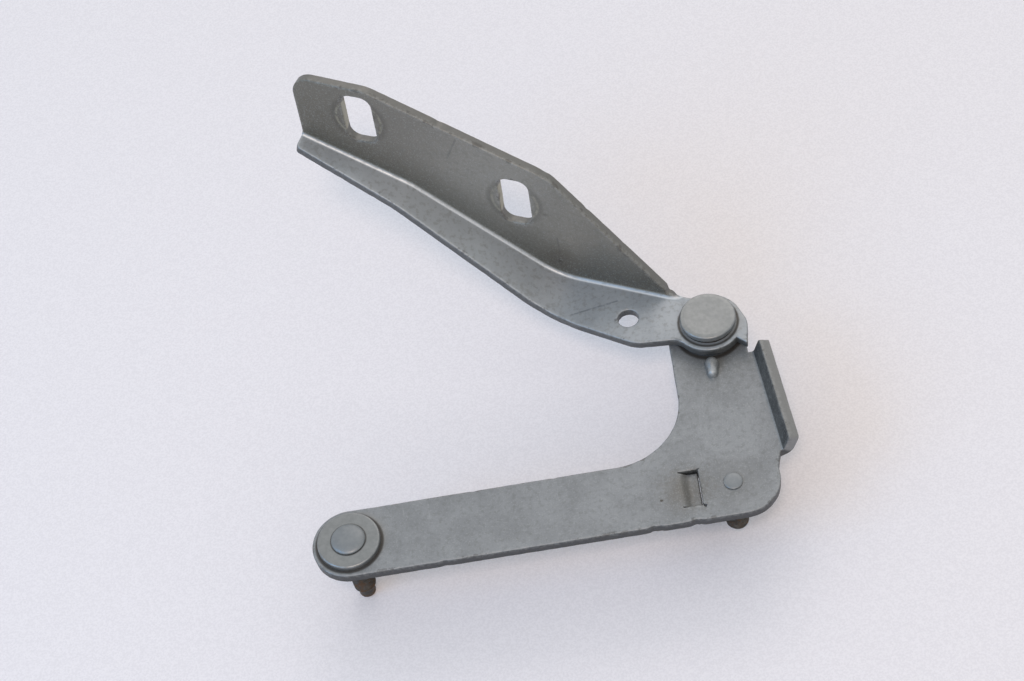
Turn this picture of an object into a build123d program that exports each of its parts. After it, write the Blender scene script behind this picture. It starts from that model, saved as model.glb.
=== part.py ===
from build123d import *

import math
import os

# Bonnet hinge, left part-open. Millimetres, Z up. The origin is on the rear stud's axis, in the
# plane where both stud collars seat on the body. X runs along the line of the two studs, with the
# front stud on the -X side, and the pivot axis is parallel to Z.

# Pressed sheet
PLATE_T = 3.8
ARM_T = 3.4
PLATE_BEND_R = 1.2
ARM_BEND_R = 1.8

# Body plate: a long arm along X, and a neck up to the pivot
STUD_SPACING = 132.0
LONG_ARM_W = 26.0
PIVOT_X = 1.5
PIVOT_Y = 63.4
NECK_LEFT = 15.0
NECK_RIGHT = 12.0
NECK_OVER_PIVOT = 13.0
NECK_END_R = 12.0
INNER_CORNER_R = 25.0
HEEL_X = 16.1
HEEL_R = 13.3
HEEL_STEP_Y = 3.5
HEEL_STEP_R = 3.0

# Upturned lip along the neck's free edge. It leans out from upright and toes out towards the heel.
LIP_X = 15.3
LIP_TOP_Y = 51.8
LIP_LENGTH = 42.7
LIP_HEIGHT = 6.6
LIP_LEAN = 19.0
LIP_TOE_OUT = 4.5
LIP_CORNER_R = 1.2

# Forms pressed into the plate
STOP_INNER_R = 12.8
STOP_OUTER_R = 19.4
STOP_ANGLE = -95.0
STOP_RIB_R = 2.4
STOP_HEIGHT = 3.8
STOP_RECESS_R = 1.6
STOP_RECESS_DEPTH = 3.0
TONGUE_X = -17.9
TONGUE_RAMP = 3.5
TONGUE_FLOOR = 3.0
TONGUE_W = 13.7
TONGUE_DROP = 2.0
SHEAR_GAP = 0.25

# Studs, M8, riveted through the plate: the front one over a washer, the rear one nearly flush
STUD_R = 4.0
COLLAR_R = 10.9
COLLAR_T = 3.5
FRONT_STUD_LENGTH = 25.5
REAR_STUD_LENGTH = 18.7
DOG_R = 2.9
DOG_LENGTH = 4.0
DOG_TAPER = 1.6
STUD_CHAMFER = 0.8
FRONT_SPIGOT_R = 3.6
REAR_SPIGOT_R = 2.6
HEAD_WASHER_R = 10.9
HEAD_WASHER_T = 2.3
HEAD_WASHER_EDGE = 0.4
FRONT_PEEN_R = 5.9
FRONT_PEEN_TOP_R = 3.4
FRONT_PEEN_H = 1.5
REAR_PEEN_R = 3.25
REAR_PEEN_TOP_R = 2.5
REAR_PEEN_H = 0.8
PEEN_LAND = 0.4

# Pivot: a shouldered rivet, a flanged bush in the arm, and a washer on each side of the plate
SHOULDER_R = 6.0
RIVET_SPIGOT_R = 5.0
RIVET_HEAD_R = 9.9
RIVET_HEAD_T = 2.9
RIVET_RIM_EDGE = 0.9
RIVET_CROWN_EDGE = 0.3
TAIL_R = 7.5
TAIL_H = 2.8
TAIL_EDGE = 1.2
TAIL_WASHER_R = 9.5
TAIL_WASHER_T = 1.5
THRUST_WASHER_R = 10.5
THRUST_WASHER_T = 2.0
BUSH_WALL = 1.2
BUSH_FLANGE_R = 9.2
BUSH_FLANGE_T = 0.8
RUN_CLEAR = 0.05
SEAT_CLEAR = 0.02
END_PLAY = 0.05

# Bonnet arm: a web in the pivot's plane that climbs away from the plate, and a flange bent up
# along its back. Lengths along the arm are measured from the pivot.
ARM_DIRECTION = 154.0
ARM_LENGTH = 152.0
EAR_R = 12.2
FLANGE_SET = 7.2
FLANGE_LEAN = 5.0
FLANGE_START = 18.0
FLANGE_START_H = 6.2
FLANGE_START_R = 2.0
RAMP_START = 58.0
RAMP_KNEE = 112.0
RAMP_ANGLE = 31.4
TIP_ANGLE = 20.9
JOGGLE_R = 30.0
CREST_START = 58.5
CREST_START_H = 52.1
CREST_TIP_RUN = 28.5
CREST_END_H = 78.0
TIP_H = 79.1
TIP_CORNER_R = 7.5
CREST_R = 14.0

# The web's front edge and the ear round the pivot
WEB_TIP_EDGE = -5.0
WEB_TIP_R = 2.0
WEB_MID = 60.0
WEB_MID_EDGE = 9.7
WEB_BELLY = 45.0
WEB_BELLY_EDGE = 12.8
WEB_NECK = 22.0
WEB_NECK_EDGE = 15.4
WEB_ROOT_EDGE = 6.6
WEB_EDGE_R = 14.0
NECK_BLEND_R = 7.0
EAR_BACK_EDGE = 7.7
EAR_BACK_R = 2.5
TOOTH_FACE = 162.0
TOOTH_R = 17.0
TOOTH_BACK_R = 13.9
TOOTH_BACK = 36.0
TOOTH_ROOT = 66.0
TOOTH_BACK_BLEND_R = 9.0

# Holes in the arm. The rear slot is set out from the pivot and the front one back from the tip,
# and each lies a drop below the crest.
SLOT_W = 11.5
SLOT_L = 21.3
SLOT_CORNER_R = 4.0
REAR_SLOT = 72.0
REAR_SLOT_DROP = 20.3
FRONT_SLOT_SETBACK = 24.2
FRONT_SLOT_DROP = 14.2
GAUGE_HOLE_R = 3.65
GAUGE_HOLE = (28.0, 5.5)

# Levels, worked out from the stack of pieces at the pivot
PLATE_BOTTOM = COLLAR_T
PLATE_TOP = PLATE_BOTTOM + PLATE_T
ARM_BOTTOM = PLATE_TOP + THRUST_WASHER_T + END_PLAY
ARM_TOP = ARM_BOTTOM + ARM_T
HEAD_BOTTOM = ARM_TOP + BUSH_FLANGE_T + END_PLAY
TAIL_TOP = PLATE_BOTTOM - TAIL_WASHER_T
BUSH_R = SHOULDER_R + RUN_CLEAR + BUSH_WALL

# Lengths along the arm that follow its tip
CREST_END = ARM_LENGTH - CREST_TIP_RUN
FRONT_SLOT = ARM_LENGTH - FRONT_SLOT_SETBACK

# Where the arm's blank starts and ends, how far its trimming blocks reach, and how closely
# positions are compared
BLANK_START = -2 * EAR_R
BLANK_END = ARM_LENGTH + 2 * EAR_R
TRIM = ARM_LENGTH
TOLERANCE = 0.001


def polar(radius, degrees):
    """Point at a radius and an angle from the X direction."""
    return (radius * math.cos(math.radians(degrees)), radius * math.sin(math.radians(degrees)))


def ring(outer, inner, thickness, x, y, bottom):
    """Flat washer standing on the level bottom."""
    face = Circle(outer) - Circle(inner)
    return Pos(x, y, bottom) * extrude(face, thickness)


def turned(points, x, y):
    """Solid of revolution about the vertical axis through x, y, from points (radius, level)."""
    profile = make_face(Polyline(*points, close=True))
    return Pos(x, y, 0) * revolve(Plane.XZ * profile, Axis.Z)


def edges_at(solid, level, radius):
    """Round edges of a turned piece at one level and radius."""
    return [
        edge
        for edge in solid.edges().filter_by(GeomType.CIRCLE)
        if abs(edge.center().Z - level) < TOLERANCE and abs(edge.radius - radius) < TOLERANCE
    ]


def plate_blank():
    """Flat J of the body plate, with its round front end."""
    half = LONG_ARM_W / 2
    left = PIVOT_X - NECK_LEFT
    right = PIVOT_X + NECK_RIGHT
    top = PIVOT_Y + NECK_OVER_PIVOT
    toe = math.radians(LIP_TOE_OUT)
    lip_foot = LIP_X + LIP_LENGTH * math.sin(toe) - PLATE_BEND_R
    corners = [
        (-STUD_SPACING, -half, 0),
        (HEEL_X, -half, HEEL_R),
        (HEEL_X, HEEL_STEP_Y, HEEL_STEP_R),
        (lip_foot, LIP_TOP_Y - LIP_LENGTH * math.cos(toe), 0),
        (LIP_X - PLATE_BEND_R, LIP_TOP_Y, 0),
        (right, LIP_TOP_Y, 0),
        (right, top, NECK_END_R),
        (left, top, NECK_END_R),
        (left, half, INNER_CORNER_R),
        (-STUD_SPACING, half, 0),
    ]
    outline = make_face(Polyline(*[(x, y) for x, y, _ in corners], close=True))
    for x, y, radius in corners:
        if radius:
            outline = fillet(outline.vertices().sort_by_distance((x, y, 0))[0], radius)
    outline += Pos(-STUD_SPACING, 0) * Circle(half)
    return Pos(0, 0, PLATE_BOTTOM) * extrude(outline, PLATE_T)


def plate_lip():
    """Angle section along the neck's free edge, leaning out and toed out towards the heel."""
    toe = math.radians(LIP_TOE_OUT)
    section = Plane(
        origin=(LIP_X, LIP_TOP_Y, PLATE_BOTTOM),
        x_dir=(math.cos(toe), math.sin(toe), 0),
        z_dir=(math.sin(toe), -math.cos(toe), 0),
    )
    lean = math.radians(LIP_LEAN)
    foot = PLATE_BEND_R + PLATE_T
    heel = (PLATE_T * (1 - math.sin(lean)) / math.cos(lean), 0)
    inner_top = (LIP_HEIGHT * math.tan(lean), PLATE_T + LIP_HEIGHT)
    outer_top = (inner_top[0] + PLATE_T * math.cos(lean), inner_top[1] - PLATE_T * math.sin(lean))
    corners = [(-foot, 0), heel, outer_top, inner_top, (0, PLATE_T), (-foot, PLATE_T)]
    profile = make_face(Polyline(*corners, close=True))
    profile = fillet(profile.vertices().sort_by_distance((0, PLATE_T, 0))[0], PLATE_BEND_R)
    profile = fillet(profile.vertices().sort_by_distance((*heel, 0))[0], PLATE_BEND_R + PLATE_T)
    lip = extrude(section * profile, LIP_LENGTH)
    across = (outer_top[0] - inner_top[0], outer_top[1] - inner_top[1])
    top_edge = section.x_dir * across[0] + section.y_dir * across[1]
    upper_ends = lip.edges().filter_by(Axis((0, 0, 0), top_edge)).sort_by(Axis.Z)[-2:]
    return fillet(upper_ends, LIP_CORNER_R)


def stop_finger(radius, height, base):
    """Round-topped finger along a radius of the pivot, for the stop rib and the recess under it."""
    inner = STOP_INNER_R + STOP_RIB_R
    run = STOP_OUTER_R - STOP_RIB_R - inner
    straight = height - radius
    finger = extrude(Pos(inner + run / 2, 0) * SlotCenterToCenter(run, 2 * radius), straight)
    finger += extrude(Plane(origin=(inner, 0, straight), z_dir=(1, 0, 0)) * Circle(radius), run)
    finger += Pos(inner, 0, straight) * Sphere(radius)
    finger += Pos(inner + run, 0, straight) * Sphere(radius)
    return Pos(PIVOT_X, PIVOT_Y, base) * Rot(0, 0, STOP_ANGLE) * finger


def tongue():
    """Lanced tongue: a ramp down from the left to a short floor, in the sheet's own thickness."""
    knee = TONGUE_X + TONGUE_RAMP
    end = knee + TONGUE_FLOOR
    side = make_face(
        Polyline(
            (TONGUE_X, PLATE_TOP),
            (knee, PLATE_TOP - TONGUE_DROP),
            (end, PLATE_TOP - TONGUE_DROP),
            (end, PLATE_BOTTOM - TONGUE_DROP),
            (knee, PLATE_BOTTOM - TONGUE_DROP),
            (TONGUE_X, PLATE_BOTTOM),
            close=True,
        )
    )
    return extrude(Plane.XZ * side, TONGUE_W / 2, both=True)


def body_plate():
    """Plate that carries the studs, the pivot and the stop."""
    plate = plate_blank() + plate_lip()
    plate += stop_finger(STOP_RIB_R, PLATE_T + STOP_HEIGHT, PLATE_BOTTOM)
    plate -= stop_finger(STOP_RECESS_R, STOP_RECESS_DEPTH, PLATE_BOTTOM)
    window_l = TONGUE_RAMP + TONGUE_FLOOR + SHEAR_GAP
    window_w = TONGUE_W + 2 * SHEAR_GAP
    plate -= Pos(TONGUE_X, 0, PLATE_BOTTOM) * Box(
        window_l, window_w, PLATE_T, align=(Align.MIN, Align.CENTER, Align.MIN)
    )
    plate += tongue()
    plate -= Pos(0, 0, PLATE_BOTTOM) * extrude(Circle(REAR_SPIGOT_R + SEAT_CLEAR), PLATE_T)
    plate -= Pos(-STUD_SPACING, 0, PLATE_BOTTOM) * extrude(Circle(FRONT_SPIGOT_R + SEAT_CLEAR), PLATE_T)
    plate -= Pos(PIVOT_X, PIVOT_Y, PLATE_BOTTOM) * extrude(Circle(RIVET_SPIGOT_R + SEAT_CLEAR), PLATE_T)
    return plate


def front_stud():
    """M8 stud with a collar, a dog point and a spigot peened over its washer."""
    tip = -FRONT_STUD_LENGTH
    peen = PLATE_TOP + HEAD_WASHER_T
    return turned(
        [
            (0, tip),
            (DOG_R - STUD_CHAMFER / 2, tip),
            (DOG_R, tip + STUD_CHAMFER / 2),
            (DOG_R, tip + DOG_LENGTH),
            (STUD_R, tip + DOG_LENGTH + DOG_TAPER),
            (STUD_R, 0),
            (COLLAR_R, 0),
            (COLLAR_R, COLLAR_T),
            (FRONT_SPIGOT_R, COLLAR_T),
            (FRONT_SPIGOT_R, peen),
            (FRONT_PEEN_R, peen),
            (FRONT_PEEN_R, peen + PEEN_LAND),
            (FRONT_PEEN_TOP_R, peen + FRONT_PEEN_H),
            (0, peen + FRONT_PEEN_H),
        ],
        -STUD_SPACING,
        0,
    )


def front_stud_washer():
    """Thick washer under the peened head, its top edge broken."""
    washer = ring(HEAD_WASHER_R, FRONT_SPIGOT_R + SEAT_CLEAR, HEAD_WASHER_T, -STUD_SPACING, 0, PLATE_TOP)
    return chamfer(edges_at(washer, PLATE_TOP + HEAD_WASHER_T, HEAD_WASHER_R), HEAD_WASHER_EDGE)


def rear_stud():
    """M8 stud with a collar and a spigot peened to a low button on the plate."""
    tip = -REAR_STUD_LENGTH
    return turned(
        [
            (0, tip),
            (STUD_R - STUD_CHAMFER, tip),
            (STUD_R, tip + STUD_CHAMFER),
            (STUD_R, 0),
            (COLLAR_R, 0),
            (COLLAR_R, COLLAR_T),
            (REAR_SPIGOT_R, COLLAR_T),
            (REAR_SPIGOT_R, PLATE_TOP),
            (REAR_PEEN_R, PLATE_TOP),
            (REAR_PEEN_R, PLATE_TOP + PEEN_LAND),
            (REAR_PEEN_TOP_R, PLATE_TOP + REAR_PEEN_H),
            (0, PLATE_TOP + REAR_PEEN_H),
        ],
        0,
        0,
    )


def pivot_rivet():
    """Flat-headed rivet, with a shoulder for the bush and a formed tail."""
    tail_end = TAIL_TOP - TAIL_H
    crown = HEAD_BOTTOM + RIVET_HEAD_T
    return turned(
        [
            (0, tail_end),
            (TAIL_R - TAIL_EDGE, tail_end),
            (TAIL_R, tail_end + TAIL_EDGE),
            (TAIL_R, TAIL_TOP),
            (RIVET_SPIGOT_R, TAIL_TOP),
            (RIVET_SPIGOT_R, PLATE_TOP),
            (SHOULDER_R, PLATE_TOP),
            (SHOULDER_R, HEAD_BOTTOM),
            (RIVET_HEAD_R - RIVET_RIM_EDGE, HEAD_BOTTOM),
            (RIVET_HEAD_R, HEAD_BOTTOM + RIVET_RIM_EDGE),
            (RIVET_HEAD_R, crown - RIVET_CROWN_EDGE),
            (RIVET_HEAD_R - RIVET_CROWN_EDGE, crown),
            (0, crown),
        ],
        PIVOT_X,
        PIVOT_Y,
    )


def pivot_bush():
    """Flanged bush pressed into the arm, running on the rivet's shoulder."""
    bore = SHOULDER_R + RUN_CLEAR
    sleeve = ring(BUSH_R, bore, ARM_T, PIVOT_X, PIVOT_Y, ARM_BOTTOM)
    return sleeve + ring(BUSH_FLANGE_R, bore, BUSH_FLANGE_T, PIVOT_X, PIVOT_Y, ARM_TOP)


def thrust_washer():
    """Washer between the two leaves."""
    return ring(THRUST_WASHER_R, SHOULDER_R + RUN_CLEAR, THRUST_WASHER_T, PIVOT_X, PIVOT_Y, PLATE_TOP)


def tail_washer():
    """Washer between the plate's underside and the rivet's formed tail."""
    return ring(TAIL_WASHER_R, RIVET_SPIGOT_R + SEAT_CLEAR, TAIL_WASHER_T, PIVOT_X, PIVOT_Y, TAIL_TOP)


def arm_side():
    """Upright plane along the arm: x from the pivot to the tip, y up from the web's underside."""
    along = (*polar(1.0, ARM_DIRECTION), 0)
    back = (*polar(1.0, ARM_DIRECTION - 90), 0)
    return Plane(origin=(PIVOT_X, PIVOT_Y, ARM_BOTTOM), x_dir=along, z_dir=back)


def arm_plan():
    """Flat plane on the web's underside: x from the pivot to the tip, y towards the front edge."""
    along = (*polar(1.0, ARM_DIRECTION), 0)
    return Plane(origin=(PIVOT_X, PIVOT_Y, ARM_BOTTOM), x_dir=along, z_dir=(0, 0, 1))


def flange_plane():
    """The flange's inner face: x along the arm, y up the face, z out of its back."""
    return Plane(arm_side().location * Location((0, ARM_T, FLANGE_SET), (FLANGE_LEAN, 0, 0)))


def web_line():
    """Side line of the web's top face: level at the pivot, then two climbing runs."""
    knee_h = ARM_T + (RAMP_KNEE - RAMP_START) * math.tan(math.radians(RAMP_ANGLE))
    end_h = knee_h + (BLANK_END - RAMP_KNEE) * math.tan(math.radians(TIP_ANGLE))
    corners = [(BLANK_START, ARM_T), (RAMP_START, ARM_T), (RAMP_KNEE, knee_h), (BLANK_END, end_h)]
    return FilletPolyline(*corners, radius=JOGGLE_R)


def corner_block(depth):
    """Room above the web and before the flange, its faces moved out by depth, its bend rounded."""
    side = arm_side()
    line = web_line()
    if depth:
        line = offset(line, depth, side=Side.RIGHT, closed=False)
    start = line @ 0
    end = line @ 1
    rim = Polyline(end, (end.X, TRIM), (start.X, TRIM), start)
    face = make_face(line.edges() + rim.edges())
    block = extrude(side * face, TRIM, both=True)
    inner = flange_plane().offset(depth)
    block = split(block, bisect_by=inner, keep=Keep.BOTTOM)
    foot = []
    for edge in block.faces().filter_by(inner).edges():
        middle = side.to_local_coords(edge.center())
        between_ends = start.X + TOLERANCE < middle.X < end.X - TOLERANCE
        if between_ends and middle.Y < TRIM - TOLERANCE:
            foot.append(edge)
    return fillet(foot, ARM_BEND_R + depth)


def crest_corners():
    """Corners of the flange's crest from the tip to the pivot end: (along, height, radius)."""
    return [
        (ARM_LENGTH, TIP_H, TIP_CORNER_R),
        (CREST_END, CREST_END_H, CREST_R),
        (CREST_START, CREST_START_H, CREST_R),
        (FLANGE_START, FLANGE_START_H, FLANGE_START_R),
    ]


def below_crest(along, drop):
    """Point on the flange's inner face, a drop below the line between the crest's corners."""
    corners = crest_corners()
    for (x1, h1, _), (x0, h0, _) in zip(corners, corners[1:]):
        if along >= x0:
            crest = h0 + (along - x0) / (x1 - x0) * (h1 - h0)
            return (along, (crest - drop - ARM_T) / math.cos(math.radians(FLANGE_LEAN)))


def flange_outline():
    """Side view that the arm is trimmed to: the crest rises from the pivot end to the tip."""
    corners = [
        (BLANK_START, -ARM_T, 0),
        (ARM_LENGTH, -ARM_T, 0),
        *crest_corners(),
        (FLANGE_START, ARM_T, 0),
        (BLANK_START, ARM_T, 0),
    ]
    outline = make_face(Polyline(*[(x, y) for x, y, _ in corners], close=True))
    for x, y, radius in corners:
        if radius:
            outline = fillet(outline.vertices().sort_by_distance((x, y, 0))[0], radius)
    return extrude(arm_side() * outline, TRIM, both=True)


def web_outline():
    """Plan view that the arm is trimmed to: front edge, ear and stop tooth."""
    front = [
        (0, WEB_ROOT_EDGE, 0),
        (WEB_NECK, WEB_NECK_EDGE, WEB_EDGE_R),
        (WEB_BELLY, WEB_BELLY_EDGE, WEB_EDGE_R),
        (WEB_MID, WEB_MID_EDGE, WEB_EDGE_R),
        (ARM_LENGTH, WEB_TIP_EDGE, WEB_TIP_R),
        (ARM_LENGTH, -TRIM, 0),
        (FLANGE_START, -TRIM, 0),
        (FLANGE_START, -EAR_BACK_EDGE, EAR_BACK_R),
        (0, -EAR_BACK_EDGE, 0),
    ]
    outline = make_face(Polyline(*[(x, y) for x, y, _ in front], close=True))
    for x, y, radius in front:
        if radius:
            outline = fillet(outline.vertices().sort_by_distance((x, y, 0))[0], radius)
    outline += Circle(EAR_R)
    tooth = Polyline(
        (0, 0),
        polar(TOOTH_R, TOOTH_FACE),
        polar(TOOTH_BACK_R, TOOTH_FACE + TOOTH_BACK),
        polar(EAR_R, TOOTH_FACE + TOOTH_ROOT),
        close=True,
    )
    outline += make_face(tooth)
    back = polar(TOOTH_BACK_R, TOOTH_FACE + TOOTH_BACK)
    outline = fillet(outline.vertices().sort_by_distance((*back, 0))[0], TOOTH_BACK_BLEND_R)
    neck = [
        vertex
        for vertex in outline.vertices()
        if vertex.X > 0 and vertex.Y > 0 and abs(math.hypot(vertex.X, vertex.Y) - EAR_R) < TOLERANCE
    ]
    outline = fillet(neck, NECK_BLEND_R)
    return extrude(arm_plan() * outline, TRIM, both=True)


def bonnet_arm():
    """Angle-section arm with its two slots, gauge hole and pivot bore."""
    arm = corner_block(ARM_T) - corner_block(0)
    arm = arm & flange_outline()
    arm = arm & web_outline()
    for centre in (below_crest(REAR_SLOT, REAR_SLOT_DROP), below_crest(FRONT_SLOT, FRONT_SLOT_DROP)):
        slot = Pos(*centre) * RectangleRounded(SLOT_W, SLOT_L, SLOT_CORNER_R)
        arm -= extrude(flange_plane() * slot, 2 * ARM_T, both=True)
    plan = arm_plan()
    arm -= extrude(plan * (Pos(*GAUGE_HOLE) * Circle(GAUGE_HOLE_R)), 2 * ARM_T, both=True)
    arm -= extrude(plan * Circle(BUSH_R + SEAT_CLEAR), 2 * ARM_T, both=True)
    return arm


PARTS = {
    "body_plate": body_plate,
    "front_stud": front_stud,
    "front_stud_washer": front_stud_washer,
    "rear_stud": rear_stud,
    "pivot_rivet": pivot_rivet,
    "pivot_bush": pivot_bush,
    "thrust_washer": thrust_washer,
    "tail_washer": tail_washer,
    "bonnet_arm": bonnet_arm,
}

os.makedirs("parts", exist_ok=True)
for name, make in PARTS.items():
    export_step(make(), f"parts/{name}.step")
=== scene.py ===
import logging
import math
from dataclasses import dataclass
from enum import Enum
from typing import Callable, Iterator, Optional, Sequence

import bpy
import numpy as np
from mathutils import Matrix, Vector
from mathutils.geometry import delaunay_2d_cdt


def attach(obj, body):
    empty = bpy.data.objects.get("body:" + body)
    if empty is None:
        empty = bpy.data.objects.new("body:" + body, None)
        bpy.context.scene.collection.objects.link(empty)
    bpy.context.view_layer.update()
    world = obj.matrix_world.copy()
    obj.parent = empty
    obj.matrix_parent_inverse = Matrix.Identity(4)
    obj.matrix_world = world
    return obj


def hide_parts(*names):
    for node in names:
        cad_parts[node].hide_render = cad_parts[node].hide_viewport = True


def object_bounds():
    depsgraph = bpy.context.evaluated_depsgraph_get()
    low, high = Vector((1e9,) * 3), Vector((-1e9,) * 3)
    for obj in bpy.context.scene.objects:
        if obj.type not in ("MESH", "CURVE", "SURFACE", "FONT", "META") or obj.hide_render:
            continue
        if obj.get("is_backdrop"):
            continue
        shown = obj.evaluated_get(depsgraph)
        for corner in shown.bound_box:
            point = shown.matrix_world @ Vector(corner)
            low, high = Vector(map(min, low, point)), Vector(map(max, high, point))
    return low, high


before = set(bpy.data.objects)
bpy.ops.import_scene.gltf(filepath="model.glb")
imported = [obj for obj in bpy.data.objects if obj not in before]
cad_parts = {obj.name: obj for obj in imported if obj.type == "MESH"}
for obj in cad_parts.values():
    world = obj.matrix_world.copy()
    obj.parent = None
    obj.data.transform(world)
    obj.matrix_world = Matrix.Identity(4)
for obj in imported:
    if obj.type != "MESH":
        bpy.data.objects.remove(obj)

# Looks of a car's bonnet hinge. Sizes are in millimetres here, and a mesh is written in metres.
# The frame is the hinge's own: X along the line of the two studs, Z along the pivot.

MM = 0.001
LOG = logging.getLogger("bonnet_hinge")

Array = np.ndarray
Colour = tuple[float, float, float]
Point = tuple[float, float, float]
Corner = tuple[float, float, float]
Place = Callable[[Array, Array], Array]

# Lengths below this count as nothing.
TINY = 1e-12
# Triangles on a hole's edge with less area than this are slivers.
SLIVER = 1e-6
# Points that one numpy table takes at a time.
BLOCK = 400
# An arc has at least this many steps, and no step turns by more than this angle.
LEAST_ARC_STEPS = 3
ARC_TURN = math.radians(12)
LEAST_CIRCLE_STEPS = 24


class Body(Enum):
    """The two moving bodies of the hinge."""

    PLATE_SIDE = "body_side"
    ARM_SIDE = "bonnet_side"


class Slot(Enum):
    """Material slots of the record."""

    SHEET = "coated_sheet"
    DARK = "dark_steel"
    PLAIN = "plain_steel"


# Shapes in numpy


def smooth(t: Array) -> Array:
    """Soft step from 0 to 1: 3t^2 - 2t^3, with t held between 0 and 1."""
    t = np.clip(t, 0.0, 1.0)
    return t * t * (3.0 - 2.0 * t)


def unit(v: Array) -> Array:
    """Vectors along the last axis, each divided by its length."""
    return v / np.maximum(np.linalg.norm(v, axis=-1, keepdims=True), TINY)


def blocks(count: int) -> Iterator[Array]:
    """Index ranges that cover count points, about BLOCK at a time."""
    yield from np.array_split(np.arange(count), max(1, count // BLOCK))


def wander(along: Array, length: float, waves: int, rng: np.random.Generator) -> Array:
    """Closed random line: the sum of a_k sin(2 pi k s / L + p_k), with a_k falling as 1 / sqrt(k).

    Args:
        along: distances s round a loop.
        length: the loop's length L.
        waves: how many sines are added.
        rng: the seeded source of a_k and p_k.

    Returns:
        One value per distance, mostly between -1 and 1.
    """
    k = np.arange(1, waves + 1)
    size = rng.normal(size=waves) / np.sqrt(k)
    size /= np.sqrt((size**2).sum())
    phase = rng.uniform(0, 2 * math.pi, waves)
    return (size * np.sin(2 * math.pi * np.outer(along / length, k) + phase)).sum(1)


def corner_arc(back: Array, here: Array, ahead: Array, radius: float, pitch: float) -> Array:
    """Arc that rounds a corner.

    An arc of radius r that turns by w starts r tan(w / 2) before its corner, and its centre lies
    r / cos(w / 2) from the corner on the inside of the turn.

    Args:
        back: unit vector from the corner to the one before.
        here: the corner.
        ahead: unit vector from the corner to the next.
        radius: the arc's radius.
        pitch: longest step along the arc.

    Returns:
        Its points, from the straight before to the straight after.
    """
    turn = math.pi - math.acos(float(np.clip(back @ ahead, -1, 1)))
    reach = radius * math.tan(turn / 2)
    centre = here + unit(back + ahead) * radius / math.cos(turn / 2)
    x, y = here + back * reach - centre
    side = math.copysign(1.0, float(back[1] * ahead[0] - back[0] * ahead[1]))
    steps = max(LEAST_ARC_STEPS, math.ceil(radius * turn / pitch), math.ceil(turn / ARC_TURN))
    a = side * np.linspace(0, turn, steps + 1)
    return centre + np.stack([x * np.cos(a) - y * np.sin(a), x * np.sin(a) + y * np.cos(a)], 1)


def path(corners: Sequence[Corner], pitch: float, closed: bool = True) -> Array:
    """Outline through corners (x, y, radius), straight runs cut every pitch and corners as arcs.

    Args:
        corners: the corners in order.
        pitch: longest step along the outline.
        closed: whether the last corner joins the first.

    Returns:
        The points, without a repeat of the first.
    """
    xy = np.array([c[:2] for c in corners], float)
    radii = [c[2] for c in corners]
    count = len(corners)
    pieces: list[Array] = []
    for i, here in enumerate(xy):
        if radii[i] <= 0 or (not closed and i in (0, count - 1)):
            pieces.append(here[None])
            continue
        back, ahead = unit(xy[i - 1] - here), unit(xy[(i + 1) % count] - here)
        pieces.append(corner_arc(back, here, ahead, radii[i], pitch))
    out: list[Array] = []
    for i, piece in enumerate(pieces):
        out.append(piece)
        if i + 1 < count or closed:
            out.append(between(piece[-1], pieces[(i + 1) % count][0], pitch))
    return np.concatenate(out)


def between(start: Array, end: Array, pitch: float) -> Array:
    """Evenly spaced points on a straight run, without its two ends.

    Args:
        start: the run's first point.
        end: the run's last point.
        pitch: longest step.

    Returns:
        The points.
    """
    steps = max(1, math.ceil(np.linalg.norm(end - start) / pitch))
    return start + (end - start) * (np.arange(1, steps) / steps)[:, None]


def circle(x: float, y: float, radius: float, pitch: float) -> Array:
    """Clockwise circle, for a round hole.

    Args:
        x: the centre's first coordinate.
        y: the centre's second coordinate.
        radius: the circle's radius.
        pitch: longest step round it.

    Returns:
        Its points.
    """
    steps = max(LEAST_CIRCLE_STEPS, math.ceil(2 * math.pi * radius / pitch))
    a = -np.arange(steps) * 2 * math.pi / steps
    return np.stack([x + radius * np.cos(a), y + radius * np.sin(a)], 1)


def polar(radius: float, degrees: float, rounding: float = 0.0) -> Corner:
    """Corner at a radius and angle about 0, 0, with its rounding."""
    a = math.radians(degrees)
    return radius * math.cos(a), radius * math.sin(a), rounding


def arc_points(radius: float, start: float, end: float, pitch: float) -> list[Corner]:
    """Sharp corners along a circle about 0, 0.

    Args:
        radius: the circle's radius.
        start: angle of the first corner, in degrees.
        end: angle of the last corner, in degrees.
        pitch: longest step.

    Returns:
        The corners.
    """
    steps = max(2, math.ceil(math.radians(abs(end - start)) * radius / pitch))
    return [polar(radius, a) for a in np.linspace(start, end, steps + 1)]


def within(points: Array, loops: Sequence[Array]) -> Array:
    """Even-odd test: whether a ray along +X from each point crosses the loops an odd number of times.

    Args:
        points: the points to test.
        loops: closed outlines.

    Returns:
        One truth value per point.
    """
    odd = np.zeros(len(points), bool)
    for loop in loops:
        a, b = loop, np.roll(loop, -1, 0)
        rise = b[:, 1] - a[:, 1]
        rise = np.where(rise == 0, TINY, rise)
        for block in blocks(len(points)):
            p = points[block]
            up = (a[None, :, 1] > p[:, None, 1]) != (b[None, :, 1] > p[:, None, 1])
            cross = a[:, 0] + (p[:, None, 1] - a[:, 1]) / rise * (b[:, 0] - a[:, 0])
            odd[block] ^= (up & (p[:, None, 0] < cross)).sum(1) % 2 == 1
    return odd


def nearest(points: Array, targets: Array) -> Array:
    """Distance from each point to the nearest target.

    Args:
        points: the points.
        targets: the targets.

    Returns:
        The distances.
    """
    out = np.empty(len(points))
    for block in blocks(len(points)):
        out[block] = np.sqrt(((points[block, None] - targets[None]) ** 2).sum(2).min(1))
    return out


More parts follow.
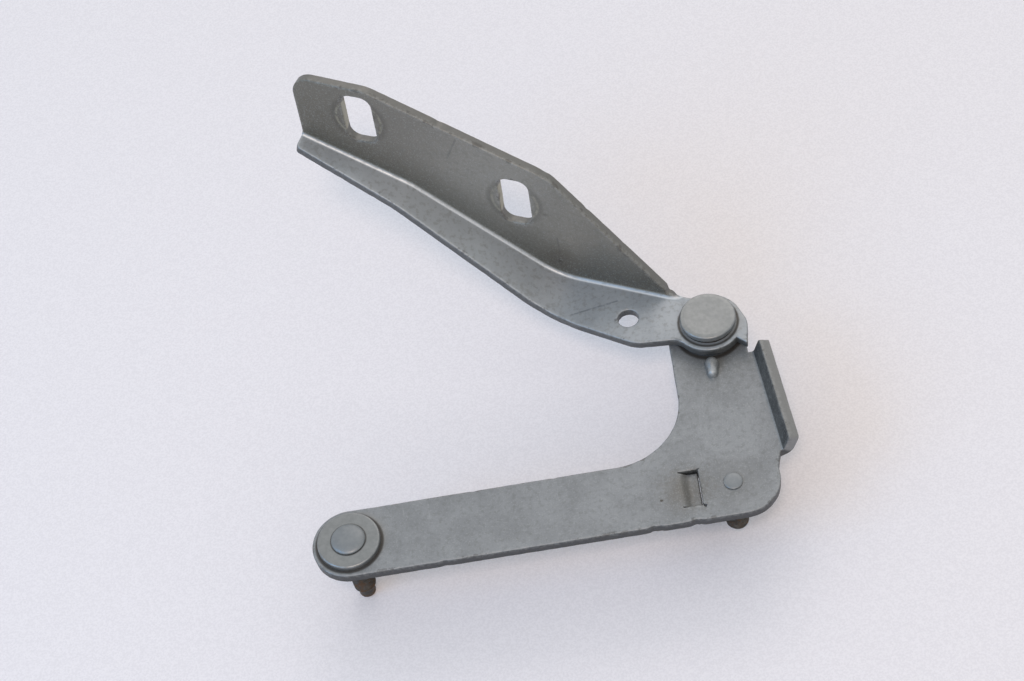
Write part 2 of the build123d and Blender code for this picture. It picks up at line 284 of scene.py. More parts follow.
def areas(points: Array, tris: Array) -> Array:
    """Signed area of each triangle of a flat mesh: half of (b - a) x (c - a).

    Args:
        points: the mesh's points.
        tris: its triangles, as indices of points.

    Returns:
        The areas, above 0 where a triangle runs anticlockwise.
    """
    a, b, c = (points[tris[:, i]] for i in range(3))
    return ((b[:, 0] - a[:, 0]) * (c[:, 1] - a[:, 1]) - (b[:, 1] - a[:, 1]) * (c[:, 0] - a[:, 0])) / 2


@dataclass
class Shell:
    """Points and faces of one closed surface, in millimetres.

    Attributes:
        points: one row per point.
        quads: faces of four points, as indices.
        tris: faces of three points, as indices.
        rim: 1 on an edge, falling to 0 away from it.
        cut: 1 on a sheet's sheared faces, and in a turned piece's corners, where dirt and painted shade go.
        zone: 0 on the flat leaf, and 1 or more on the leaf bent up from it.
    """

    points: Array
    quads: Array
    tris: Array
    rim: Array
    cut: Array
    zone: Array

    def volume(self) -> float:
        """Signed volume: a sixth of the sum of a . (b x c) over all triangles.

        Returns:
            The volume, negative where the faces point inwards.
        """
        halves = [self.tris, self.quads[:, [0, 1, 2]], self.quads[:, [0, 2, 3]]]
        a, b, c = (self.points[np.concatenate(halves)][:, i] for i in range(3))
        return float((a * np.cross(b, c)).sum() / 6)

    def piece(self, name: str, sharp: float = 38.0) -> bpy.types.Object:
        """Makes the object, its faces turned outwards.

        Args:
            name: the object's name.
            sharp: angle in degrees above which an edge is drawn sharp.

        Returns:
            The new object, at the origin.
        """
        if self.volume() < 0:
            self.quads, self.tris = self.quads[:, ::-1], self.tris[:, ::-1]
        mesh = bpy.data.meshes.new(name)
        mesh.from_pydata((self.points * MM).tolist(), [], self.quads.tolist() + self.tris.tolist())
        mesh.polygons.foreach_set("use_smooth", np.ones(len(mesh.polygons), bool))
        for key in ("rim", "cut", "zone"):
            values = mesh.attributes.new(key, "FLOAT", "POINT")
            values.data.foreach_set("value", getattr(self, key).astype(np.float32))
        mesh.set_sharp_from_angle(angle=math.radians(sharp))
        mesh.validate()
        made = bpy.data.objects.new(name, mesh)
        bpy.context.scene.collection.objects.link(made)
        return made


@dataclass(frozen=True)
class EdgeRow:
    """One row of points down a cut edge.

    Attributes:
        inset: how far it lies inside the blank's outline.
        depth: how far it lies below the top face.
        torn: share of the raggedness that it takes.
        rim: its worn-edge value.
        cut: its sheared-face value.
    """

    inset: float
    depth: float
    torn: float
    rim: float
    cut: float


@dataclass(frozen=True)
class Nick:
    """A bruise on a sheet's edge: where on the blank, its half width and its depth."""

    u: float
    v: float
    width: float
    depth: float


@dataclass
class PressedSheet:
    """A sheet cut along loops and pressed to shape.

    Attributes:
        place: takes points (u, v) of the flat blank and their depth below the top face, and gives
            points in space.
        zone: takes points (u, v) and gives 0 on the flat leaf, and 1 or more on the bent one.
        loops: the outline, anticlockwise, and then the holes, clockwise.
        thickness: the sheet's thickness.
        fine: more points inside the blank, where it is bent or embossed.
        nicks: bruises on the edges.
        seed: seed of the ragged edges.
        pitch: spacing of the points inside the blank.
        roll: radius that the shear drew the top edge down by.
        burr: rounding of the lower edge.
        ragged: depth of the torn lower half of the cut.
        worn: depth of the long and the short waves of wear along an edge.
        waves: how many of each there are round a loop.
        clear: how far beyond the roll the fine points keep from an edge.
        rim_reach: distance over which the worn-edge value falls off on a face.
    """

    place: Place
    zone: Callable[[Array], Array]
    loops: list[Array]
    thickness: float
    fine: Array
    nicks: Sequence[Nick]
    seed: int
    pitch: float = 1.3
    roll: float = 0.42
    burr: float = 0.16
    ragged: float = 0.07
    worn: tuple[float, float] = (0.05, 0.03)
    waves: tuple[int, int] = (90, 240)
    clear: float = 0.3
    rim_reach: float = 1.1

    def edge_rows(self) -> list[EdgeRow]:
        """Rows down the cut edge.

        The top is a quarter turn, inset roll (1 - sin a) and depth roll (1 - cos a). The next
        part is sheared clean, and the rest is torn back a little.

        Returns:
            The rows from the top face to the lower one.
        """
        rows = []
        for a, cut in zip(np.linspace(0, math.pi / 2, 4), (0.0, 0.1, 0.5, 0.9)):
            rows.append(EdgeRow(self.roll * (1 - math.sin(a)), self.roll * (1 - math.cos(a)), 0.0, 1.0, cut))
        return rows + [
            EdgeRow(0.0, self.thickness * 0.45, 0.1, 0.5, 1.0),
            EdgeRow(0.5 * self.ragged, self.thickness * 0.6, 1.0, 0.3, 1.0),
            EdgeRow(self.ragged, self.thickness * 0.8, 1.0, 0.3, 1.0),
            EdgeRow(self.ragged, self.thickness - self.burr, 0.7, 0.6, 1.0),
            EdgeRow(self.ragged + self.burr, self.thickness, 0.3, 0.8, 0.4),
        ]

    def frames(self, loop: Array) -> tuple[Array, Array, Array]:
        """Directions along a loop, from differences of place over a short step.

        Args:
            loop: points (u, v) of one loop.

        Returns:
            The points on the top face, the sheet's normals there, and the way out of the sheet.
        """
        step = 0.01
        zero = np.zeros(len(loop))
        at = self.place(loop, zero)
        du = (self.place(loop + [step, 0], zero) - self.place(loop - [step, 0], zero)) / (2 * step)
        dv = (self.place(loop + [0, step], zero) - self.place(loop - [0, step], zero)) / (2 * step)
        under = self.place(loop, zero + self.thickness)
        normal = unit(at - under)
        tangent = np.roll(loop, -1, 0) - np.roll(loop, 1, 0)
        out = unit(np.stack([tangent[:, 1], -tangent[:, 0]], 1))
        away = du * out[:, :1] + dv * out[:, 1:]
        forward = unit(du * tangent[:, :1] + dv * tangent[:, 1:])
        away -= (away * forward).sum(1, keepdims=True) * forward
        away -= (away * normal).sum(1, keepdims=True) * normal
        return at, normal, unit(away)

    def bruises(self, loop: Array) -> Array:
        """How far wear and nicks push a loop into the sheet: a nick by depth exp(-(d / width)^2).

        Args:
            loop: points (u, v) of one loop.

        Returns:
            One inset per point.
        """
        rng = np.random.default_rng(self.seed + len(loop))
        steps = np.linalg.norm(np.roll(loop, -1, 0) - loop, axis=1)
        along = np.concatenate([[0], np.cumsum(steps)[:-1]])
        depth = np.zeros(len(loop))
        for size, waves in zip(self.worn, self.waves):
            depth += size * np.abs(wander(along, steps.sum(), waves, rng))
        for nick in self.nicks:
            far = ((loop - [nick.u, nick.v]) ** 2).sum(1)
            depth += nick.depth * np.exp(-far / nick.width**2)
        return depth

    def edge(self, rows: list[EdgeRow], loop: Array, rng: np.random.Generator) -> Array:
        """Rows of points down the cut edge along one loop.

        Args:
            rows: the edge's rows.
            loop: points (u, v) of the loop.
            rng: the seeded source of the raggedness.

        Returns:
            An array of row by point by x, y, z.
        """
        at, normal, away = self.frames(loop)
        worn = self.bruises(loop)
        grain = rng.normal(0, 0.5, (len(rows), len(loop)))
        grain = (grain + np.roll(grain, 1, 1) + np.roll(grain, 2, 1)) / 1.7
        made = []
        for row, rough in zip(rows, grain):
            inwards = row.inset + worn + self.ragged * row.torn * np.abs(rough)
            made.append(at - away * inwards[:, None] - normal * row.depth)
        return np.stack(made)

    def shell(self) -> Shell:
        """Cut edges as rows along each loop, and both faces as triangles between the loops.

        Returns:
            The closed shell.
        """
        rng = np.random.default_rng(self.seed)
        rows = self.edge_rows()
        counts = [len(loop) for loop in self.loops]
        starts = np.concatenate([[0], np.cumsum(counts)])
        total = int(starts[-1])
        flat = np.concatenate(self.loops)
        edge = np.concatenate([self.edge(rows, loop, rng) for loop in self.loops], 1)
        quads = []
        for start, count in zip(starts, counts):
            here = start + np.arange(count)
            ahead = start + (np.arange(count) + 1) % count
            for upper in np.arange(len(rows) - 1) * total:
                lower = upper + total
                quads.append(np.stack([upper + here, lower + here, lower + ahead, upper + ahead], 1))
        inner = self.off_nicks(self.inside())
        top = self.place(inner, np.zeros(len(inner)))
        low = self.place(inner, np.full(len(inner), self.thickness))
        tris = self.cap(flat, inner, starts)
        first_top = len(rows) * total
        first_low = first_top + len(inner)
        upper = np.where(tris < total, tris, tris - total + first_top)
        lower = np.where(tris < total, tris + (len(rows) - 1) * total, tris - total + first_low)[:, ::-1]
        fading = np.exp(-nearest(inner, flat) / self.rim_reach)
        rim = np.concatenate([np.full(total, row.rim) for row in rows] + [fading] * 2)
        cut = np.concatenate([np.full(total, row.cut) for row in rows] + [np.zeros(2 * len(inner))])
        zone = np.concatenate([np.tile(self.zone(flat), len(rows))] + [self.zone(inner)] * 2)
        points = np.concatenate([edge.reshape(-1, 3), top, low])
        return Shell(points, np.concatenate(quads), np.concatenate([upper, lower]), rim, cut, zone)

    def inside(self) -> Array:
        """Points of the blank between its loops.

        They are a grid with every other row shifted by half a pitch, thinned out round the fine
        points, and those fine points. Both keep clear of every loop.

        Returns:
            The points (u, v).
        """
        low, high = self.loops[0].min(0), self.loops[0].max(0)
        row = self.pitch * 0.87
        u, v = np.meshgrid(np.arange(low[0], high[0], self.pitch), np.arange(low[1], high[1], row))
        u[::2] += self.pitch / 2
        grid = np.stack([u.ravel(), v.ravel()], 1)
        flat = np.concatenate(self.loops)
        fine = self.fine[within(self.fine, self.loops)]
        fine = fine[nearest(fine, flat) > self.roll + self.clear]
        grid = grid[nearest(grid, fine) > 0.6 * self.pitch]
        grid = grid[within(grid, self.loops)]
        grid = grid[nearest(grid, flat) > 0.7 * self.pitch]
        return np.concatenate([grid, fine])

    def off_nicks(self, points: Array) -> Array:
        """The points that no nick reaches.

        Args:
            points: points inside the blank.

        Returns:
            Those of them that stay.
        """
        for nick in self.nicks:
            far = np.hypot(points[:, 0] - nick.u, points[:, 1] - nick.v)
            points = points[far > nick.width + nick.depth + self.roll]
        return points

    def cap(self, flat: Array, inner: Array, starts: Array) -> Array:
        """Triangles of the blank between its loops.

        Args:
            flat: points of all loops.
            inner: points inside the blank.
            starts: index of each loop's first point, and of the first inner point.

        Returns:
            The triangles, as indices into the loops' points and then the inner ones.
        """
        edges = []
        for start, end in zip(starts[:-1], starts[1:]):
            here = np.arange(start, end)
            edges.append(np.stack([here, np.roll(here, -1)], 1))
        both = np.concatenate([flat, inner])
        inside_only = 1
        done = delaunay_2d_cdt(both.tolist(), np.concatenate(edges).tolist(), [], inside_only, 1e-7)
        origin = np.array([ids[0] for ids in done[3]])
        tris = origin[np.array(done[2])]
        for k in range(1, len(self.loops)):
            on_hole = ((tris >= starts[k]) & (tris < starts[k + 1])).all(1)
            spare = (np.abs(areas(both, tris)) < SLIVER) | within(both[tris].sum(1) / 3, [self.loops[k]])
            tris = tris[~(on_hole & spare)]
        turned = areas(both, tris) < 0
        tris[turned] = tris[turned][:, ::-1]
        return tris


@dataclass(frozen=True)
class Thread:
    """A screw thread: its lowest and highest level, its pitch and its depth."""

    low: float
    high: float
    pitch: float
    depth: float

    def cut(self, radius: Array, height: Array, angle: Array) -> Array:
        """Takes depth * clip((|2 f - 1| - 0.14) / 0.72) off a radius.

        Here f is the fraction of (height / pitch - angle / 2 pi). The thread fades out over a
        pitch at its lower end, and over one and a half at its upper one.

        Args:
            radius: radius of each point.
            height: height of each point.
            angle: angle of each column of points.

        Returns:
            The cut radii.
        """
        crest, flank = 0.14, 0.72
        f = np.mod(height / self.pitch - angle[None] / (2 * math.pi), 1.0)
        groove = np.clip((np.abs(2 * f - 1) - crest) / flank, 0, 1)
        fade = smooth((height - self.low) / self.pitch) * smooth((self.high - height) / (1.5 * self.pitch))
        return radius - self.depth * groove * fade * (radius > self.depth)


@dataclass
class Turned:
    """A piece turned about a vertical axis: radius and height as functions of profile and angle.

    Attributes:
        x: where the axis stands along X.
        y: where the axis stands along Y.
        profile: (radius, height) from one end to the other, both ends on the axis or closed.
        seed: seed of the unevenness.
        rim_at: (radius, height) of worn edges.
        shade_crevices_at: (radius, height) of corners that take dirt and painted shade.
        steps: points round the axis.
        thread: its screw thread, if it has one.
        closed: whether the profile is a ring that closes on itself, as on a washer.
        uneven: how far the piece is out of round.
        reach: distance over which wear, dirt and painted shade fall off.
    """

    x: float
    y: float
    profile: list[tuple[float, float]]
    seed: int
    rim_at: Sequence[tuple[float, float]]
    shade_crevices_at: Sequence[tuple[float, float]]
    steps: int
    thread: Optional[Thread] = None
    closed: bool = False
    uneven: float = 0.0
    reach: float = 0.5

    def shell(self) -> Shell:
        """Grid of angle by profile, with the thread cut and low waves taken off radius and height.

        Returns:
            The closed shell.
        """
        rows = np.array(self.profile)
        angle = np.arange(self.steps) * 2 * math.pi / self.steps
        radius = np.repeat(rows[:, :1], self.steps, 1)
        height = np.repeat(rows[:, 1:], self.steps, 1)
        if self.thread:
            radius = self.thread.cut(radius, height, angle)
        rng = np.random.default_rng(self.seed)
        largest = max(rows[:, 0])
        wave = 0.5 + 0.5 * wander(angle, 2 * math.pi, 7, rng)[None]
        tilt = 0.5 + 0.5 * wander(angle, 2 * math.pi, 4, rng)[None]
        radius = radius * (1 - self.uneven * wave / largest)
        height = height - 0.5 * self.uneven * tilt * (rows[:, :1] / largest)
        points = np.stack([self.x + radius * np.cos(angle), self.y + radius * np.sin(angle), height], 2)
        ids = np.arange(len(rows) * self.steps).reshape(len(rows), self.steps)
        if self.closed:
            ids = np.concatenate([ids, ids[:1]])
        nxt = np.roll(ids, -1, 1)
        quads = np.stack([ids[:-1].ravel(), nxt[:-1].ravel(), nxt[1:].ravel(), ids[1:].ravel()], 1)
        flat = points.reshape(-1, 3)
        tris = np.empty((0, 3), int)
        if not self.closed:
            first = len(flat)
            ends = np.array([[self.x, self.y, rows[0, 1]], [self.x, self.y, rows[-1, 1]]])
            flat = np.concatenate([flat, ends])
            low = np.stack([np.full(self.steps, first), nxt[0], ids[0]], 1)
            high = np.stack([np.full(self.steps, first + 1), ids[-1], nxt[-1]], 1)
            tris = np.concatenate([low, high])
        rim, crevice_shade = (self.near(rows, spots, len(flat)) for spots in (self.rim_at, self.shade_crevices_at))
        return Shell(flat, quads, tris, rim, crevice_shade, np.zeros(len(flat)))

    def near(self, rows: Array, spots: Sequence[tuple[float, float]], count: int) -> Array:
        """Value of each point: exp(-d / reach), with d the distance to the nearest of some spots.

        Args:
            rows: the profile.
            spots: (radius, height) of the spots.
            count: how many points the shell has.

        Returns:
            The values, 0 on the points that close the ends.
        """
        out = np.zeros(count)
        value = np.exp(-nearest(rows, np.array(spots)) / self.reach)
        out[: len(rows) * self.steps] = np.repeat(value, self.steps)
        return out


def dense(profile: Sequence[Corner], pitch: float) -> list[tuple[float, float]]:
    """Open profile with rounded corners (radius, height, rounding), as a list of points."""
    return [tuple(p) for p in path(profile, pitch, closed=False)]


# Materials

Socket = bpy.types.NodeSocket
FLOAT = "NodeSocketFloat"
VECTOR = "NodeSocketVector"


class Desk:
    """Adds shader nodes to one tree, and links them."""

    def __init__(self, tree: bpy.types.NodeTree) -> None:
        """Keeps the tree and empties it."""
        self.tree = tree
        tree.nodes.clear()

    def add(self, kind: str, **settings: object) -> bpy.types.Node:
        """Adds a node.

        Args:
            kind: the node's type.
            settings: its properties, by name.

        Returns:
            The node.
        """
        node = self.tree.nodes.new(kind)
        for key, value in settings.items():
            setattr(node, key, value)
        return node

    def feed(self, socket: Socket, value: object) -> None:
        """Links another socket into this one, or writes a constant to it.

        Args:
            socket: the input.
            value: a socket or a constant.
        """
        if isinstance(value, Socket):
            self.tree.links.new(value, socket)
        elif value is not None:
            socket.default_value = value

    def math(self, operation: str, a: object, b: object = None, clamp: bool = False) -> Socket:
        """Math node of two values.

        Args:
            operation: what the node works out.
            a: the first value, a socket or a number.
            b: the second value, if it has one.
            clamp: whether the result is held between 0 and 1.

        Returns:
            The result's socket.
        """
        node = self.add("ShaderNodeMath", operation=operation, use_clamp=clamp)
        self.feed(node.inputs[0], a)
        self.feed(node.inputs[1], b)
        return node.outputs[0]

    def times(self, a: object, b: object) -> Socket:
        """Product of two values."""
        return self.math("MULTIPLY", a, b)

    def plus(self, a: object, b: object) -> Socket:
        """Sum of two values."""
        return self.math("ADD", a, b)

    def minus(self, a: object, b: object) -> Socket:
        """Difference of two values."""
        return self.math("SUBTRACT", a, b)

    def most(self, values: Sequence[Socket]) -> Socket:
        """The largest of several values.

        Args:
            values: the values.

        Returns:
            The largest.
        """
        result = values[0]
        for value in values[1:]:
            result = self.math("MAXIMUM", result, value)
        return result

    def span(self, value: object, low: object, high: object, start: float = 0.0, end: float = 1.0) -> Socket:
        """Maps a value smoothly from one range to another, and holds it between the ends.

        Args:
            value: the value.
            low: where the first range starts.
            high: where it ends.
            start: the result at low.
            end: the result at high.

        Returns:
            The result's socket.
        """
        node = self.add("ShaderNodeMapRange", interpolation_type="SMOOTHSTEP")
        for i, v in enumerate((value, low, high, start, end)):
            self.feed(node.inputs[i], v)
        return node.outputs[0]

    def mix(self, share: object, a: object, b: object) -> Socket:
        """Colour between two.

        Args:
            share: how much of the second there is.
            a: the first colour.
            b: the second colour.

        Returns:
            The mixed colour's socket.
        """
        node = self.add("ShaderNodeMix", data_type="RGBA")
        self.feed(node.inputs["Factor"], share)
        first, second = (s for s in node.inputs if s.type == "RGBA")
        self.feed(first, rgba(a))
        self.feed(second, rgba(b))
        return next(s for s in node.outputs if s.type == "RGBA")

    def tint(self, colour: object, other: object, mask: object, share: object) -> Socket:
        """Turns a colour towards another where a mask is on.

        Args:
            colour: the colour so far.
            other: the colour to turn to.
            mask: where it turns.
            share: how far it turns there.

        Returns:
            The new colour's socket.
        """
        return self.mix(self.times(mask, share), colour, other)

    def own(self, name: str) -> Socket:
        """The piece's own attribute of a name."""
        return self.add("ShaderNodeAttribute", attribute_name=name).outputs["Fac"]

    def apart(self, a: object, b: object) -> Socket:
        """Distance between two places."""
        return self.vector("DISTANCE", a, b).outputs["Value"]

    def vector(self, operation: str, a: object, b: object) -> bpy.types.Node:
        """Vector node of two values.

        Args:
            operation: what it does.
            a: its first value.
            b: its second value.

        Returns:
            The node.
        """
        node = self.add("ShaderNodeVectorMath", operation=operation)
        self.feed(node.inputs[0], a)
        self.feed(node.inputs[1], b)
        return node

    def millimetres(self, stretch: Point = (1, 1, 1), turn: float = 0.0) -> Socket:
        """The piece's own coordinates in millimetres.

        Args:
            stretch: a factor for each axis, below 1 where a pattern is drawn out.
            turn: angle about Z in degrees.

        Returns:
            The coordinates' socket.
        """
        where = self.add("ShaderNodeTexCoord")
        node = self.add("ShaderNodeMapping")
        node.inputs["Rotation"].default_value = (0, 0, math.radians(turn))
        node.inputs["Scale"].default_value = tuple(s / MM for s in stretch)
        self.feed(node.inputs["Vector"], where.outputs["Object"])
        return node.outputs[0]

    def noise(self, where: Socket, size: float, detail: float = 3.0, rough: float = 0.55) -> Socket:
        """Noise.

        Args:
            where: the coordinates it is read at.
            size: width of its lumps in millimetres.
            detail: how many finer layers it has.
            rough: how strong those are.

        Returns:
            The noise's socket, about 0.5 on average.
        """
        node = self.add("ShaderNodeTexNoise")
        self.feed(node.inputs["Vector"], where)
        node.inputs["Scale"].default_value = 1.0 / size
        node.inputs["Detail"].default_value = detail
        node.inputs["Roughness"].default_value = rough
        return node.outputs["Fac"]

    def effect(self, tree: bpy.types.NodeTree, **values: object) -> object:
        """Places a shared effect.

        Args:
            tree: the effect's group.
            values: its inputs, by name.

        Returns:
            The placed group's outputs.
        """
        node = self.add("ShaderNodeGroup", node_tree=tree)
        for key, value in values.items():
            node.inputs[key].default_value = value
        return node.outputs


def rgba(value: object) -> object:
    """A colour with its alpha, or the socket as it came."""
    return (*value, 1.0) if isinstance(value, tuple) and len(value) == 3 else value


def group(
    name: str, inputs: dict[str, tuple[str, object]], outputs: Sequence[str]
) -> tuple[Desk, object, object]:
    """New shader node group.

    Args:
        name: the group's name.
        inputs: for each input its socket type and default.
        outputs: names of the float outputs.

    Returns:
        A desk on its tree, the input node's sockets and the output node's sockets.
    """
    tree = bpy.data.node_groups.new(name, "ShaderNodeTree")
    for key, (kind, default) in inputs.items():
        socket = tree.interface.new_socket(key, in_out="INPUT", socket_type=kind)
        socket.default_value = default
    for key in outputs:
        tree.interface.new_socket(key, in_out="OUTPUT", socket_type=FLOAT)
    desk = Desk(tree)
    return desk, desk.add("NodeGroupInput").outputs, desk.add("NodeGroupOutput").inputs


class Effects:
    """Shader node groups that the finishes share, each made once."""

    def __init__(self) -> None:
        """Builds all the groups."""
        self.coat = self._coat()
        self.scuffs = self._scuffs()
        self.edges = self._edges()
        self.rust = self._rust()
        self.ring = self._ring()
        self.smudge = self._smudge()
        self.scratch = self._scratch()

    def _coat(self) -> bpy.types.NodeTree:
        """Coated sheet: slow clouds, mottling and a fine grain, with the height of the last two.

        Returns:
            The node group.
        """
        desk, _, out = group("coat_mottle", {}, ("Clouds", "Mottle", "Grain", "Height"))
        where = desk.millimetres()
        mottle = desk.span(desk.noise(where, size=1.8, detail=5.0, rough=0.62), 0.3, 0.7)
        grain = desk.noise(where, size=0.55, detail=3.0, rough=0.6)
        desk.feed(out["Clouds"], desk.span(desk.noise(where, size=17.0, detail=6.0, rough=0.66), 0.36, 0.64))
        desk.feed(out["Mottle"], mottle)
        desk.feed(out["Grain"], grain)
        desk.feed(out["Height"], desk.plus(desk.times(grain, 0.6), desk.times(mottle, 0.4)))
        return desk.tree

    def _scuffs(self) -> bpy.types.NodeTree:
        """Thin rubbed lines in three directions: drawn-out noise, kept only near its middle value.

        Returns:
            The node group.
        """
        desk, inp, out = group("handling_scuffs", {"Amount": (FLOAT, 0.5)}, ("Lines", "Patches"))
        lines = []
        for turn, size in ((24.0, 0.9), (-52.0, 1.2), (81.0, 0.7)):
            drawn = desk.noise(desk.millimetres((1.0, 0.035, 0.3), turn), size, detail=1.5, rough=0.5)
            line = desk.span(desk.math("ABSOLUTE", desk.minus(drawn, 0.5)), 0.004, 0.0015)
            gate = desk.span(desk.noise(desk.millimetres(turn=turn * 3), size=17.0, detail=2.0), 0.52, 0.62)
            lines.append(desk.times(line, gate))
        patch = desk.noise(desk.millimetres(turn=13.0), size=6.0, detail=6.0, rough=0.7)
        desk.feed(out["Lines"], desk.times(desk.most(lines), inp["Amount"]))
        desk.feed(out["Patches"], desk.times(desk.span(patch, 0.60, 0.70), inp["Amount"]))
        return desk.tree

    def _edges(self) -> bpy.types.NodeTree:
        """Worn edges: the mesh's rim value, broken up by noise.

        Returns:
            The node group.
        """
        desk, _, out = group("rubbed_edges", {}, ("Bright", "Dark"))
        rim = desk.own("rim")
        rough = desk.noise(desk.millimetres(), size=1.6, detail=4.0, rough=0.7)
        spots = desk.noise(desk.millimetres(turn=40.0), size=4.5, detail=4.0, rough=0.7)
        desk.feed(out["Bright"], desk.span(desk.times(rim, desk.span(rough, 0.3, 0.62)), 0.35, 0.9))
        desk.feed(out["Dark"], desk.span(desk.times(rim, desk.span(spots, 0.5, 0.66)), 0.3, 0.7))
        return desk.tree

    def _rust(self) -> bpy.types.NodeTree:
        """Rust bloom: two sizes of noise above a level that falls with the amount, and its height.

        Returns:
            The node group.
        """
        desk, inp, out = group("rust_bloom", {"Amount": (FLOAT, 0.5)}, ("Mask", "Height"))
        where = desk.millimetres()
        big = desk.noise(where, size=2.6, detail=5.0, rough=0.65)
        small = desk.noise(where, size=0.5, detail=4.0, rough=0.7)
        both = desk.plus(desk.times(big, 0.65), desk.times(small, 0.35))
        level = desk.minus(0.86, desk.times(inp["Amount"], 0.62))
        mask = desk.span(both, level, desk.plus(level, 0.12))
        desk.feed(out["Mask"], mask)
        desk.feed(out["Height"], desk.times(small, mask))
        return desk.tree

    def _ring(self) -> bpy.types.NodeTree:
        """Ring round a centre: with k = (distance - radius) / width, on where |k| is small.

        Returns:
            The group. Band is the whole ring, Ring the same broken by noise, and Disc what it encloses.
        """
        inputs = {"Centre": (VECTOR, (0, 0, 0)), "Radius": (FLOAT, 9.0), "Width": (FLOAT, 0.6)}
        desk, inp, out = group("bolt_ring", inputs, ("Ring", "Band", "Disc"))
        gap = desk.apart(desk.millimetres(), inp["Centre"])
        far = desk.math("DIVIDE", desk.minus(gap, inp["Radius"]), inp["Width"])
        band = desk.span(desk.math("ABSOLUTE", far), 1.0, 0.2)
        broken = desk.span(desk.noise(desk.millimetres(), size=2.4, detail=5.0, rough=0.7), 0.36, 0.56)
        desk.feed(out["Band"], band)
        desk.feed(out["Ring"], desk.times(band, broken))
        desk.feed(out["Disc"], desk.span(far, 0.4, -0.4))
        return desk.tree

    def _smudge(self) -> bpy.types.NodeTree:
        """Spot with a ragged edge: a distance from a centre, bent by noise.

        Returns:
            The node group.
        """
        inputs = {"Centre": (VECTOR, (0, 0, 0)), "Radius": (FLOAT, 1.0), "Soft": (FLOAT, 0.5)}
        desk, inp, out = group("smudge", inputs, ("Mask",))
        gap = desk.apart(desk.millimetres(), inp["Centre"])
        ragged = desk.times(desk.noise(desk.millimetres(), size=1.3, detail=4.0, rough=0.7), 1.5)
        near = desk.math("DIVIDE", desk.times(gap, ragged), inp["Radius"])
        outer, inner = desk.plus(1.0, inp["Soft"]), desk.minus(1.0, inp["Soft"])
        desk.feed(out["Mask"], desk.span(near, outer, inner))
        return desk.tree

    def _scratch(self) -> bpy.types.NodeTree:
        """Line from A to B: |P - A - k (B - A)|, with k = (P - A).(B - A) / |B - A|^2 held to 0 to 1.

        Returns:
            The node group.
        """
        inputs = {"A": (VECTOR, (0, 0, 0)), "B": (VECTOR, (1, 0, 0)), "Width": (FLOAT, 0.2)}
        desk, inp, out = group("scratch", inputs, ("Mask",))
        off = desk.vector("SUBTRACT", desk.millimetres(), inp["A"]).outputs[0]
        way = desk.vector("SUBTRACT", inp["B"], inp["A"]).outputs[0]
        along = desk.vector("DOT_PRODUCT", off, way).outputs["Value"]
        whole = desk.vector("DOT_PRODUCT", way, way).outputs["Value"]
        foot = desk.add("ShaderNodeVectorMath", operation="SCALE")
        desk.feed(foot.inputs[0], way)
        desk.feed(foot.inputs["Scale"], desk.math("DIVIDE", along, whole, clamp=True))
        away = desk.apart(off, foot.outputs[0])
        broken = desk.span(desk.noise(desk.millimetres(), size=1.1, detail=4.0, rough=0.7), 0.3, 0.55)
        near = desk.span(desk.math("DIVIDE", away, inp["Width"]), 1.4, 0.6)
        desk.feed(out["Mask"], desk.times(near, broken))
        return desk.tree


@dataclass(frozen=True)
class Mark:
    """A mark on a surface: its centre and radius in millimetres, softness, strength and colour."""

    centre: Point
    radius: float
    soft: float = 0.5
    strength: float = 0.7
    colour: Colour = (0.05, 0.045, 0.04)


@dataclass(frozen=True)
class Scratch:
    """A straight scratch: its ends and half width in millimetres, and its strength and colour."""

    start: Point
    end: Point
    width: float = 0.18
    strength: float = 0.6
    colour: Colour = (0.06, 0.07, 0.08)


@dataclass(frozen=True)
class Ring:
    """A circle round a centre: a bolt's seat on the sheet, or a line of painted shade and dirt where a part
    stands on it.
    """

    centre: Point
    radius: float
    width: float


@dataclass(frozen=True)
class WearAndPaintedLight:
    """What use left on one sheet, and the light and shade painted on it.

    Attributes:
        marks: smudges, rubbed spots and patches of painted light on the flat leaf.
        leaf_marks: those on the bent leaf.
        scratches: straight scratches.
        seats: rings that bolts' flanges wore.
        contact_shades: painted shade, with some dirt, round the parts that stand on the sheet.
    """

    marks: Sequence[Mark] = ()
    leaf_marks: Sequence[Mark] = ()
    scratches: Sequence[Scratch] = ()
    seats: Sequence[Ring] = ()
    contact_shades: Sequence[Ring] = ()


@dataclass(frozen=True)
class Finish:
    """What every finish has: the shader's own settings.

    Attributes:
        base: main colour.
        metallic: how much it is a metal.
        roughness: how dull it is.
        bump: strength of the relief.
        bump_size: height of the relief in millimetres.
    """

    base: Colour
    metallic: float
    roughness: float
    bump: float = 0.3
    bump_size: float = 0.05

    def start(self, name: str) -> tuple[bpy.types.Material, Desk, bpy.types.Node]:
        """New material with a Principled shader.

        Args:
            name: the material's name.

        Returns:
            The material, a desk on its tree and the shader node.
        """
        material = bpy.data.materials.new(name)
        material.use_nodes = True
        desk = Desk(material.node_tree)
        shader = desk.add("ShaderNodeBsdfPrincipled")
        shader.inputs["Metallic"].default_value = self.metallic
        shader.inputs["Roughness"].default_value = self.roughness
        desk.feed(desk.add("ShaderNodeOutputMaterial").inputs["Surface"], shader.outputs[0])
        return material, desk, shader

    def relief(self, desk: Desk, shader: bpy.types.Node, height: Socket) -> None:
        """Feeds a height through a Bump node to the shader.

        Args:
            desk: the material's desk.
            shader: its shader node.
            height: the height, about 0 to 1.
        """
        node = desk.add("ShaderNodeBump")
        node.inputs["Strength"].default_value = self.bump
        node.inputs["Distance"].default_value = self.bump_size * MM
        desk.feed(node.inputs["Height"], height)
        desk.feed(shader.inputs["Normal"], node.outputs[0])


